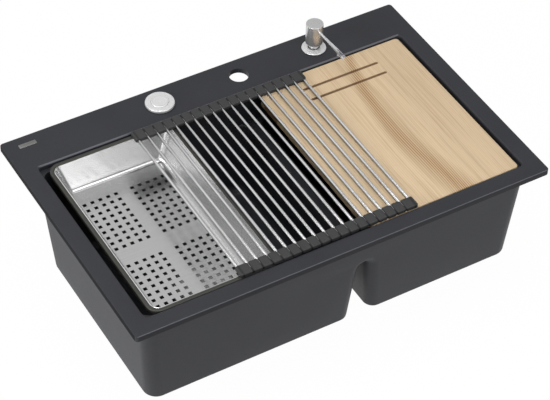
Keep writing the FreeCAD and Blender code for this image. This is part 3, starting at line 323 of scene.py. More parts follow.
@dataclass(frozen=True)
class StoneComposite(Finish):
    """Cast quartz and resin: fine grain, a few paler grains and a satin skin.

    The deck's sides carry painted shade, and its long edges and the lip behind the recess carry a painted
    highlight.
    The lip is given by its front and rear edge.
    """

    shade: float = 0.9
    paler: Colour = (88, 89, 95)
    paler_share: float = 0.35
    grain: float = 900.0
    tone: float = 9.0
    flecks: float = 1700.0
    fleck_ends: Pair = (0.66, 0.74)
    gloss: Pair = (0.42, 0.56)
    sheen: float = 0.32
    relief: float = 0.12
    arris_highlight: Colour = (112, 113, 120)
    arris_highlight_share: float = 0.5
    # Painted shade on the deck's side faces: its colour, and how much of it shows on the ends and on the front
    # and rear.
    side: Colour = (10, 10, 12)
    end_shade_share: float = 0.85
    front_shade_share: float = 0.4
    side_skin: Pair = (-0.3, -0.1)
    deck_half: Pair = (390.0, 250.0)
    deck_top: float = 11.0
    edge_round: float = 1.5
    lip_highlight_share: float = 0.6
    lip: Pair = (167.5, 170.7)
    lip_fade: Pair = (-0.1, 0.5)
    lip_depth: Pair = (3.0, 2.0)
    recess_half: float = 357.5
    recess_corner: float = 4.0

    def edge_highlight(self, board: NodeBoard, outward: Sequence[NodeSocket], y: NodeSocket, z: NodeSocket) -> NodeSocket:
        """How much painted highlight lies on the deck's long edges and the recess's rear lip.

        Args:
            board: The material's nodes.
            outward: How far a place lies past the deck's ends and past its front or rear edge.
            y: Its place along Y.
            z: Its height.

        Returns:
            The share of the painted highlight colour.
        """
        rounded, top = self.edge_round, self.deck_top
        edge = board.product(board.ranged(outward[1], -rounded * MM, -0.7 * rounded * MM),
                             board.ranged(z, (top - rounded) * MM, (top - 0.5 * rounded) * MM))
        deep, shallow = ((top - depth) * MM for depth in self.lip_depth)
        near, far = self.lip
        start, full = self.lip_fade
        inner = self.recess_half - self.deck_half[0]
        lip = board.product(board.ranged(z, deep, shallow),
                            board.ranged(y, (near + start) * MM, (near + full) * MM),
                            board.ranged(y, far * MM, (far - full + start) * MM),
                            board.ranged(outward[0], inner * MM, (inner - self.recess_corner) * MM))
        return board.maths("MAXIMUM", board.product(edge, self.arris_highlight_share), board.product(lip, self.lip_highlight_share))

    def paint(self, board: NodeBoard) -> None:
        """Grain, flecks, slow changes of tone, painted shade on the deck's sides and painted highlights on its
        arrises.

        Args:
            board: The material's nodes.
        """
        grain = board.noise(board.position, self.grain, 4, 0.65)
        tone = board.noise(board.position, self.tone, 3)
        fleck = board.ranged(board.noise(board.position, self.flecks, 1, 0.3), *self.fleck_ends)
        ground = board.blended(board.spread(tone), shaded(self.colour, self.shade), self.colour)
        speckled = board.blended(board.product(fleck, self.paler_share), ground, self.paler)
        x, y, z = board.axes()
        outward = [board.maths("SUBTRACT", board.maths("ABSOLUTE", axis), half * MM)
                   for axis, half in zip((x, y), self.deck_half)]
        # Painted shade: the deck's side faces are darkened, most at the ends, and lose their specular sheen.
        start, full = (depth * MM for depth in self.side_skin)
        end, front = (board.ranged(distance, start, full) for distance in outward)
        side = board.maths("MAXIMUM", board.product(end, self.end_shade_share), board.product(front, self.front_shade_share))
        darkened = board.blended(side, speckled, self.side)
        # Painted highlight: a paler colour on the long arrises and on the recess's rear lip, over the rest.
        board.show("Base Color", board.blended(self.edge_highlight(board, outward, y, z), darkened, self.arris_highlight))
        board.show("Specular IOR Level", board.ranged(side, 0, 0.95, self.sheen, 0.0))
        board.show("Roughness", board.spread(grain, *self.gloss))
        board.bump(grain, self.relief, 0.45)


@dataclass(frozen=True)
class Steel(Finish):
    """Steel whose fine lines show in colour, gloss and relief. Each kind draws its own lines."""

    shade: float = 0.86
    metal: float = 1.0
    gloss: Pair = (0.22, 0.36)
    relief: float = 0.02
    cloud: float = 14.0
    line_share: float = 0.7
    shade_below: Pair | None = None
    underside_shade: float = 0.55

    def lines(self, board: NodeBoard) -> NodeSocket:
        """The lines' pattern.

        Args:
            board: The material's nodes.

        Returns:
            The pattern, from 0 to 1.
        """
        raise NotImplementedError

    def paint(self, board: NodeBoard) -> None:
        """Lines over soft clouds, and painted shade on the underside where it is given.

        Args:
            board: The material's nodes.
        """
        lines = self.lines(board)
        cloud = board.noise(board.position, self.cloud, 2)
        colour = board.blended(board.spread(lines), shaded(self.colour, self.shade), self.colour)
        # Painted shade: the colour darkens below a given height, where the underside lies in shadow.
        if self.shade_below is not None:
            low, high = (level * MM for level in self.shade_below)
            under = board.ranged(board.axes()[2], low, high, 1.0, 0.0)
            colour = board.blended(under, colour, shaded(self.colour, self.underside_shade))
        board.show("Base Color", colour)
        board.show("Metallic", self.metal)
        mixed = board.maths("ADD", board.product(lines, self.line_share),
                            board.product(cloud, 1 - self.line_share))
        board.show("Roughness", board.spread(mixed, *self.gloss))
        board.bump(lines, self.relief)


@dataclass(frozen=True)
class BrushedSteel(Steel):
    """Steel with straight brush lines along one direction."""

    stretch: Point = (900, 12, 900)

    def lines(self, board: NodeBoard) -> NodeSocket:
        """Long thin streaks."""
        return board.noise(board.placed(self.stretch), 1, 4, 0.6)


@dataclass(frozen=True)
class TurnedSteel(Steel):
    """Steel finished on a lathe: fine rings about an upright axis."""

    shade: float = 0.88
    gloss: Pair = (0.2, 0.34)
    relief: float = 0.015
    cloud: float = 60.0
    centre: Pair = (0, 0)
    rings: float = 1600.0

    def lines(self, board: NodeBoard) -> NodeSocket:
        """Rings on flat faces and lines around upright ones."""
        return board.noise(board.vector(board.radius(self.centre), 0.0, board.axes()[2]), self.rings, 3, 0.6)


@dataclass(frozen=True)
class Moulded(Finish):
    """Plastic, rubber or silicone with a fine moulded skin."""

    shade: float = 0.88
    cloud: float = 25.0
    gloss: float = 0.5
    gloss_drift: float = 0.06
    grain: float = 1400.0
    relief: float = 0.05
    creases: tuple[float, float, float] | None = None
    crease_shadow: float = 0.2
    crease_shadow_share: float = 0.9

    def paint(self, board: NodeBoard) -> None:
        """Fine texture with slow changes of gloss, and painted shade in the creases where they are given.

        Args:
            board: The material's nodes.
        """
        skin = board.noise(board.position, self.grain, 3, 0.6)
        cloud = board.noise(board.position, self.cloud, 2)
        colour = board.blended(board.spread(cloud), shaded(self.colour, self.shade), self.colour)
        # Painted shade: each crease of the strip is darkened.
        if self.creases is not None:
            first, pitch, half = (part * MM for part in self.creases)
            away = board.maths("PINGPONG", board.maths("SUBTRACT", board.axes()[0], first), pitch / 2)
            colour = board.blended(board.ranged(away, 0.4 * half, half, self.crease_shadow_share, 0.0), colour,
                                   shaded(self.colour, self.crease_shadow))
        board.show("Base Color", colour)
        board.show("Roughness", board.spread(cloud, self.gloss - self.gloss_drift, self.gloss + self.gloss_drift))
        board.bump(skin, self.relief)


@dataclass(frozen=True)
class OiledWood(Finish):
    """Pale hardwood with its grain along Y and one darker streak of heartwood."""

    line: Colour = (170, 138, 98)
    heart: Colour = (160, 122, 80)
    groove_shadow: Colour = (112, 80, 48)
    pale: float = 1.05
    drift: float = 30.0
    drift_stretch: Point = (4, 1.6, 4)
    broad_stretch: Point = (22, 2.5, 22)
    broad_ends: Pair = (0.35, 0.65)
    line_stretch: Point = (240, 5, 60)
    line_ends: Pair = (0.5, 0.66)
    line_share: float = 0.36
    fibre_stretch: Point = (1500, 25, 1500)
    pore_ends: Pair = (0.58, 0.72)
    pore_share: float = 0.25
    ring: float = 3.9
    ring_waver: float = 1.6
    ring_share: float = 0.16
    heart_x: float = 218.0
    heart_lean: float = 0.0385
    heart_bow: float = 0.00074
    heart_core: float = 3.0
    heart_rows: Pair = (140.0, -200.0)
    heart_half: Pair = (14.0, 34.0)
    top: float = 8.0
    groove_floor: float = 4.0
    groove_rear: Pair = (135.0, 130.0)
    groove_front: Pair = (85.0, 90.0)
    groove_right: Pair = (290.0, 288.0)
    groove_shadow_share: float = 0.85
    gloss: Pair = (0.5, 0.66)
    relief: float = 0.06

    def streak(self, board: NodeBoard, across: NodeSocket, along: NodeSocket) -> NodeSocket:
        """The heartwood: a bowed streak that widens towards the front.

        Args:
            board: The material's nodes.
            across: The place across the grain, with its drift.
            along: The place along the grain.

        Returns:
            1 in the streak's middle and 0 beside it.
        """
        course = board.maths("ADD", board.product(along, along, self.heart_bow / MM),
                             board.product(along, self.heart_lean))
        beside = board.maths("SUBTRACT", board.maths("SUBTRACT", across, course),
                             (self.heart_x + self.drift / 2) * MM)
        ends = [place * MM for place in (*self.heart_rows, *self.heart_half)]
        return board.ranged(board.maths("ABSOLUTE", beside), self.heart_core * MM, board.ranged(along, *ends),
                            1.0, 0.0)

    def groove_shading(self, board: NodeBoard, across: NodeSocket, along: NodeSocket, height: NodeSocket) -> NodeSocket:
        """Painted shade in the grooves.

        Args:
            board: The material's nodes.
            across: The place along X.
            along: The place along Y.
            height: The height.

        Returns:
            The share of the painted shadow colour.
        """
        # Painted shade: the grooves' walls and floor darken with depth.
        sunk = board.ranged(height, (self.top - 0.2) * MM, (self.groove_floor + 1) * MM, 0.0, self.groove_shadow_share)
        bounds = ((along, self.groove_front), (along, self.groove_rear), (across, self.groove_right))
        return board.product(sunk, *(board.ranged(place, *(end * MM for end in ends)) for place, ends in bounds))

    def paint(self, board: NodeBoard) -> None:
        """Broad tone, growth lines, heartwood streak, fine fibres and painted shade in the grooves.

        Args:
            board: The material's nodes.
        """
        across, along, height = board.axes()
        drift = board.noise(board.placed(self.drift_stretch), 1, 2)
        shifted = board.maths("ADD", across, board.product(drift, self.drift * MM))
        lines = board.noise(board.vector(*(board.product(place, factor) for place, factor in zip(
            (shifted, along, height), self.line_stretch))), 1, 3, 0.6)
        fibre = board.noise(board.placed(self.fibre_stretch), 1, 3, 0.6)
        broad = board.noise(board.placed(self.broad_stretch), 1, 3)
        waver = board.maths("ADD", shifted, board.product(lines, self.ring_waver * MM))
        ring = board.maths("SINE", board.product(waver, 2 * math.pi / (self.ring * MM)))
        heart = board.product(self.streak(board, shifted, along), board.ranged(ring, -0.5, 0.7, 0.25, 1.0))
        colour = board.blended(board.ranged(broad, *self.broad_ends), self.colour, shaded(self.colour, self.pale))
        for share, tint in ((board.ranged(ring, 0.1, 0.9, 0.0, self.ring_share), self.line),
                            (board.ranged(lines, *self.line_ends, 0.0, self.line_share), self.line),
                            (heart, self.heart),
                            (board.ranged(fibre, *self.pore_ends, 0.0, self.pore_share), self.line),
                            (self.groove_shading(board, across, along, height), self.groove_shadow)):
            colour = board.blended(share, colour, tint)
        board.show("Base Color", colour)
        board.show("Roughness", board.spread(fibre, *self.gloss))
        board.bump(fibre, self.relief)


class Finishes:
    """Every finish of the sink and its accessories."""

    STONE = StoneComposite("charcoal_stone", "stone", (47, 48, 53))
    TRAY_STEEL = BrushedSteel("tray_steel", "steel", (214, 214, 214), stretch=(8, 380, 380), gloss=(0.2, 0.27),
                              relief=0.002, shade=0.97)
    ROD_STEEL = BrushedSteel("rod_steel", "steel", (222, 222, 223), stretch=(1500, 20, 1500), gloss=(0.2, 0.3),
                             shade=0.93, shade_below=(10.6, 13.2))
    SPOUT_STEEL = BrushedSteel("spout_steel", "chrome", (226, 226, 228), stretch=(1500, 20, 1500), shade=0.92,
                               metal=0.6)
    PLATE_STEEL = BrushedSteel("plate_steel", "steel", (150, 150, 148), stretch=(12, 900, 900))
    HARDWARE_STEEL = BrushedSteel("hardware_steel", "steel", (190, 190, 190), stretch=(500, 500, 500))
    BUTTON_STEEL = TurnedSteel("button_steel", "steel", (246, 246, 246), centre=(-105, 210), gloss=(0.28, 0.4),
                               metal=0.5)
    ROSETTE_STEEL = TurnedSteel("rosette_steel", "chrome", (244, 244, 245), centre=(204, 210),
                                gloss=(0.26, 0.36), metal=0.5)
    DISPENSER_STEEL = TurnedSteel("dispenser_steel", "chrome", (222, 221, 221), centre=(204, 210),
                                  gloss=(0.24, 0.34), metal=0.82)
    LEFT_WASTE_STEEL = TurnedSteel("left_waste_steel", "steel", (205, 205, 204), centre=(-161, -34))
    RIGHT_WASTE_STEEL = TurnedSteel("right_waste_steel", "steel", (205, 205, 204), centre=(207, -34))
    SILICONE = Moulded("strip_silicone", "silicone", (52, 52, 53), gloss=0.6, grain=1100, relief=0.08,
                       creases=(-180, 18, 2.4))
    RIM_PLASTIC = Moulded("tray_rim_plastic", "rim", (56, 56, 51), gloss=0.45, grain=1500)
    BLACK_PLASTIC = Moulded("black_plastic", "plastic_dark", (30, 30, 31), gloss=0.45)
    WHITE_PLASTIC = Moulded("white_plastic", "plastic_white", (228, 228, 222), gloss=0.35)
    RUBBER = Moulded("seal_rubber", "rubber", (24, 24, 24), gloss=0.7, grain=900, relief=0.1)
    WOOD = OiledWood("board_wood", "wood", (215, 191, 157))


def deselect() -> None:
    """Leave edit mode and select nothing."""
    if bpy.context.object is not None and bpy.context.object.mode != "OBJECT":
        bpy.ops.object.mode_set(mode="OBJECT")
    bpy.ops.object.select_all(action="DESELECT")


def take_up(item: Object) -> None:
    """Make an object the only selected one and the active one.

    Args:
        item: The object.
    """
    deselect()
    item.select_set(True)
    bpy.context.view_layer.objects.active = item


def linked(name: str, data: ID) -> Object:
    """Put a mesh, a lamp or a camera into the scene.

    Args:
        name: The object's name.
        data: What it shows.

    Returns:
        The new object.
    """
    item = bpy.data.objects.new(name, data)
    bpy.context.scene.collection.objects.link(item)
    return item


class Select(Enum):
    """What edit mode selects."""

    POINTS = "VERT"
    EDGES = "EDGE"
    FACES = "FACE"


class Workpiece:
    """One mesh that is shaped with Blender's modelling tools. Sizes are in millimetres."""

    def __init__(self, item: Object, name: str) -> None:
        """Take up a mesh object.

        Args:
            item: The object.
            name: The piece's name.
        """
        self.item = item
        item.name = name
        item.data.name = name

    @classmethod
    def started(cls, name: str) -> "Workpiece":
        """The primitive that was just added, with its place put into its mesh."""
        bpy.ops.object.transform_apply(location=True, rotation=True, scale=True)
        return cls(bpy.context.object, name)

    @classmethod
    def block(cls, name: str, low: Point, high: Point) -> "Workpiece":
        """A box.

        Args:
            name: The piece's name.
            low: Its lowest corner.
            high: Its highest corner.

        Returns:
            The piece.
        """
        deselect()
        centre, size = (Vector(low) + Vector(high)) * MM / 2, (Vector(high) - Vector(low)) * MM
        bpy.ops.mesh.primitive_cube_add(size=1, location=centre, scale=size)
        return cls.started(name)

    @classmethod
    def peg(cls, name: str, foot: Vector, radius: float, height: float, sides: int = 32) -> "Workpiece":
        """An upright peg that cuts a round hole.

        Args:
            name: The piece's name.
            foot: The middle of its lower end.
            radius: Its radius.
            height: Its height.
            sides: How many sides it has.

        Returns:
            The piece.
        """
        deselect()
        bpy.ops.mesh.primitive_cylinder_add(vertices=sides, radius=radius * MM, depth=height * MM,
                                            location=(foot + Vector((0, 0, height / 2))) * MM)
        return cls.started(name)

    @classmethod
    def turned(cls, name: str, centre: Point, outline: Outline, sides: int = 96) -> "Workpiece":
        """A solid of revolution about an upright axis, drawn out ring by ring.

        Args:
            name: The piece's name.
            centre: A point on the axis; heights are measured from it.
            outline: Radius and height of each ring. It starts and ends off the axis, and is closed by a
                flat face at each end, or joined up where the first ring is given again as the last.
            sides: How many sides each ring has.

        Returns:
            The piece.
        """
        deselect()
        axis = Vector(centre) * MM
        first_radius, height = outline[0]
        bpy.ops.mesh.primitive_circle_add(vertices=sides, radius=first_radius * MM,
                                          location=axis + Vector((0, 0, height * MM)))
        piece = cls.started(name)
        with piece.editing(Select.EDGES):
            bpy.ops.mesh.select_all(action="SELECT")
            radius = first_radius
            for next_radius, next_height in outline[1:]:
                bpy.ops.mesh.extrude_edges_move(
                    TRANSFORM_OT_translate={"value": (0, 0, (next_height - height) * MM)})
                factor = next_radius / radius
                bpy.ops.transform.resize(value=(factor, factor, 1), center_override=axis)
                radius, height = next_radius, next_height
            bpy.ops.mesh.select_all(action="SELECT")
            bpy.ops.mesh.remove_doubles(threshold=0.001 * MM)
            bpy.ops.mesh.select_all(action="DESELECT")
        piece.close_ends()
        return piece

    @classmethod
    def from_node(cls, name: str, node: str) -> "Workpiece":
        """A copy of a node's mesh whose loose triangles are merged.

        Args:
            name: The piece's name.
            node: The node that it stands for.

        Returns:
            The piece.
        """
        deselect()
        piece = cls(linked(name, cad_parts[node].data.copy()), name)
        with piece.editing(Select.POINTS):
            bpy.ops.mesh.select_all(action="SELECT")
            bpy.ops.mesh.remove_doubles(threshold=0.002 * MM)
            bpy.ops.mesh.customdata_custom_splitnormals_clear()
            bpy.ops.mesh.tris_convert_to_quads(face_threshold=math.radians(1), shape_threshold=math.radians(180))
        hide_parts(node)
        return piece

    @contextmanager
    def editing(self, select: Select) -> Iterator[None]:
        """Edit mode with nothing changed in the selection.

        Args:
            select: What is selected in it.

        Yields:
            Nothing.
        """
        take_up(self.item)
        bpy.ops.object.mode_set(mode="EDIT")
        bpy.ops.mesh.select_mode(type=select.value)
        yield
        bpy.ops.object.mode_set(mode="OBJECT")

    def choose(self, kind: str, test: Callable[[BMVert | BMEdge | BMFace], bool]) -> None:
        """Select parts of the mesh in edit mode.

        Args:
            kind: verts, edges or faces.
            test: Takes one of them and says whether it is selected.
        """
        mesh = bmesh.from_edit_mesh(self.item.data)
        for part in getattr(mesh, kind):
            part.select_set(test(part))
        mesh.select_flush_mode()
        bmesh.update_edit_mesh(self.item.data)

    def choose_faces(self, test: Callable[[Vector, Vector], bool]) -> None:
        """Select faces by their centre in millimetres and their normal."""
        self.choose("faces", lambda face: test(face.calc_center_median() / MM, face.normal))

    def choose_edges(self, test: Callable[[Vector, Vector], bool], above: float = 0.0) -> None:
        """Select edges by their middle and direction.

        Args:
            test: Takes an edge's middle in millimetres and its direction.
            above: The least angle in degrees between the edge's faces.
        """
        def passes(edge: BMEdge) -> bool:
            """Whether an edge is sharp enough and passes the test.

            Args:
                edge: The edge.

            Returns:
                Whether it is selected.
            """
            first, second = (point.co for point in edge.verts)
            sharp = math.degrees(edge.calc_face_angle(math.pi)) >= above
            return sharp and test((first + second) / 2 / MM, (second - first).normalized())

        self.choose("edges", passes)

    def choose_points(self, test: Callable[[Vector], bool]) -> None:
        """Select points by their place in millimetres."""
        self.choose("verts", lambda point: test(point.co / MM))

    def close_ends(self) -> None:
        """Put a flat face on each open ring and point all faces outwards."""
        with self.editing(Select.EDGES):
            bpy.ops.mesh.select_all(action="DESELECT")
            bpy.ops.mesh.select_non_manifold(extend=False)
            mesh = bmesh.from_edit_mesh(self.item.data)
            rings = [edge for edge in mesh.edges if edge.is_boundary]
            if rings:
                bmesh.ops.holes_fill(mesh, edges=rings, sides=0)
                bmesh.update_edit_mesh(self.item.data)
            bpy.ops.mesh.select_all(action="SELECT")
            bpy.ops.mesh.normals_make_consistent(inside=False)

    def bevel_edges(self, width: float, steps: int = 4) -> None:
        """Round the edges that are selected in edit mode.

        Args:
            width: The round's size.
            steps: How many faces it takes.
        """
        bpy.ops.mesh.bevel(offset=width * MM, offset_type="OFFSET", segments=steps, profile=0.5,
                           affect="EDGES", clamp_overlap=True)

    def round_uprights(self, width: float, steps: int) -> None:
        """Round the upright edges of a block.

        Args:
            width: The round's size.
            steps: How many faces it takes.
        """
        with self.editing(Select.EDGES):
            self.choose_edges(lambda middle, way: abs(way.z) > 0.99)
            self.bevel_edges(width, steps)

    def applied(self, kind: str, **settings: object) -> "Workpiece":
        """Add a modifier and apply it.

        Args:
            kind: The modifier's type.
            settings: Its properties.

        Returns:
            The piece.
        """
        modifier = self.item.modifiers.new(kind.lower(), kind)
        for key, value in settings.items():
            setattr(modifier, key, value)
        take_up(self.item)
        bpy.ops.object.modifier_apply(modifier=modifier.name)
        return self

    def thicken(self, wall: float) -> "Workpiece":
        """Give an open sheet a wall on its inner side."""
        return self.applied("SOLIDIFY", thickness=wall * MM, offset=-1.0, use_even_offset=True)

    def combined(self, how: str, other: "Workpiece") -> "Workpiece":
        """Combine this piece's volume with another's and delete the other.

        Args:
            how: DIFFERENCE or UNION.
            other: The other piece.

        Returns:
            The piece.
        """
        self.applied("BOOLEAN", operation=how, solver="EXACT", object=other.item)
        bpy.data.objects.remove(other.item)
        return self

    def cut_with(self, cutter: "Workpiece") -> "Workpiece":
        """Take another piece's volume out of this one."""
        return self.combined("DIFFERENCE", cutter)

    def joined_with(self, other: "Workpiece") -> "Workpiece":
        """Make one solid of this piece and another."""
        return self.combined("UNION", other)

    def repeated(self, steps: Sequence[Point]) -> "Workpiece":
        """Join a copy of the piece for each step, moved by it, to the piece itself.

        Args:
            steps: How far each copy is moved.

        Returns:
            The piece.
        """
        template, copies = self.item.data.copy(), []
        for step in steps:
            copy = linked(self.item.name, template.copy())
            take_up(copy)
            bpy.ops.transform.translate(value=Vector(step) * MM)
            bpy.ops.object.transform_apply(location=True, rotation=True, scale=True)
            copies.append(copy)
        take_up(self.item)
        for copy in copies:
            copy.select_set(True)
        bpy.ops.object.join()
        return self

    def around(self, centre: Point, count: int) -> "Workpiece":
        """Repeat the piece evenly around an upright axis.

        Args:
            centre: A point on the axis.
            count: How many there are with the first.

        Returns:
            The piece.
        """
        points = self.item.data.vertices
        middle = sum((point.co for point in points), Vector()) / len(points)
        arm = Vector((middle.x / MM - centre[0], middle.y / MM - centre[1], 0))
        turns = (Matrix.Rotation(2 * math.pi * step / count, 3, "Z") for step in range(1, count))
        return self.repeated([turn @ arm - arm for turn in turns])

    def finished(self, finish: Finish, body: str, replaced: Sequence[str] = (), smooth: float = 35.0) -> None:
        """Smooth the piece, dress it and let it ride.

        Args:
            finish: What it is made of.
            body: The body that carries it.
            replaced: The nodes that it stands for.
            smooth: The angle in degrees under which faces shade as one.
        """
        take_up(self.item)
        bpy.ops.object.shade_smooth_by_angle(angle=math.radians(smooth))
        self.item.data.materials.clear()
        self.item.data.materials.append(finish.material())
        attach(self.item, body)
        if replaced:
            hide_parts(*replaced)
        LOG.info("%s rides on %s", self.item.name, body)


def rounding(corner: Pair, radius: float, first: float, last: float, steps: int = 5) -> list[Pair]:
    """Points along the round that eases a square corner of an outline.

    Args:
        corner: The corner, as radius and height.
        radius: The round's size.
        first: The angle in degrees where it starts, from the outward direction.
        last: Where it ends.
        steps: How many faces it takes.

    Returns:
        Its points as radius and height.
    """
    middle = math.radians((first + last) / 2)
    centre = (corner[0] - math.copysign(radius, math.cos(middle)),
              corner[1] - math.copysign(radius, math.sin(middle)))
    angles = [math.radians(first + (last - first) * step / steps) for step in range(steps + 1)]
    return [(centre[0] + radius * math.cos(angle), centre[1] + radius * math.sin(angle)) for angle in angles]


def dress_nodes(finish: Finish, *names: str) -> None:
    """Give nodes that keep their own mesh a finish.

    Args:
        finish: What they are made of.
        names: The nodes.
    """
    for name in names:
        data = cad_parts[name].data
        data.materials.clear()
        data.materials.append(finish.material())
        LOG.info("%s keeps its mesh", name)


class Assembly:
    """A group of pieces that is modelled and then dressed."""

    def build(self) -> None:
        """Model the pieces that are new; a group that keeps its nodes has none."""

    def dress(self) -> None:
        """Give every piece its finish and its body."""
        raise NotImplementedError


@dataclass
class SinkBody(Assembly):
    """The moulded body and the bare plate let into its deck."""

    plate_low: Point = (-363.5, 223.0, 10.2)
    plate_high: Point = (-331.5, 232.0, 11.4)
    plate_corner: float = 1.45
    plate_edge: float = 0.35
    smooth: float = 30.0

    def build(self) -> None:
        """A smooth copy of the moulding, and the plate."""
        self.moulding = Workpiece.from_node("moulded_body", "sink_body")
        self.plate = Workpiece.block("bare_plate", self.plate_low, self.plate_high)
        self.plate.round_uprights(self.plate_corner, 5)
        with self.plate.editing(Select.EDGES):
            self.plate.choose_edges(lambda middle, way: middle.z > self.plate_high[2] - TOUCH)
            self.plate.bevel_edges(self.plate_edge, 3)

    def dress(self) -> None:
        """Charcoal stone and a dull steel plate."""
        self.moulding.finished(Finishes.STONE, "sink", smooth=self.smooth)
        self.plate.finished(Finishes.PLATE_STEEL, "sink", ["badge_plate"])


@dataclass
class PushButton(Assembly):
    """The round control of the pop-up waste.

    Heights are measured from the deck's top. The cap's dish is given as radius and depth.
    """

    centre: Point = (-105.0, 210.0, 11.0)
    flange_radius: float = 26.0
    flange_top: float = 6.0
    flange_round: float = 2.0
    flange_chamfer: float = 0.25
    gasket: float = 1.0
    shank_radius: float = 17.3
    shank_bore: float = 14.0
    foot: float = -44.0
    bore: float = 15.9
    bore_chamfer: float = 0.35
    web: float = -3.5
    web_steel: float = 3.0
    web_bore: float = 5.2
    cap_radius: float = 15.6
    cap_top: float = 7.0
    cap_round: float = 0.8
    cap_steel: float = 4.0
    cap_dish: Outline = ((11.0, 0.15), (13.2, 0.12))
    plunger_radius: float = 5.0
    plunger_chamfer: float = 0.5
    plunger_foot: float = -36.0

    def build(self) -> None:
        """The rosette with its shank, and the button that moves in it."""
        web_foot = self.web - self.web_steel
        self.rosette = Workpiece.turned("button_rosette", self.centre, [
            (self.bore + self.bore_chamfer, self.flange_top),
            *rounding((self.flange_radius, self.flange_top), self.flange_round, 90, 0, 6),
            (self.flange_radius, self.gasket + self.flange_chamfer),
            (self.flange_radius - self.flange_chamfer, self.gasket),
            (self.shank_radius, self.gasket), (self.shank_radius, self.foot), (self.shank_bore, self.foot),
            (self.shank_bore, web_foot), (self.web_bore, web_foot), (self.web_bore, self.web),
            (self.bore, self.web), (self.bore, self.flange_top - self.bore_chamfer),
            (self.bore + self.bore_chamfer, self.flange_top)])
        self.button = Workpiece.turned("button_face", self.centre, [
            *((radius, self.cap_top - depth) for radius, depth in self.cap_dish),
            *rounding((self.cap_radius, self.cap_top), self.cap_round, 90, 0, 4),
            (self.cap_radius, self.cap_top - self.cap_steel),
            (self.plunger_radius, self.cap_top - self.cap_steel),
            (self.plunger_radius, self.plunger_foot + self.plunger_chamfer),
            (self.plunger_radius - self.plunger_chamfer, self.plunger_foot)])

    def dress(self) -> None:
        """Fine turned steel, black works under the deck."""
        self.rosette.finished(Finishes.BUTTON_STEEL, "sink", ["button_housing"])
        self.button.finished(Finishes.BUTTON_STEEL, "button", ["button_cap"])
        dress_nodes(Finishes.RUBBER, "button_gasket")
        dress_nodes(Finishes.BLACK_PLASTIC, "button_washer", "button_nut", "button_plug")
        dress_nodes(Finishes.HARDWARE_STEEL, "button_spring", "button_clip")


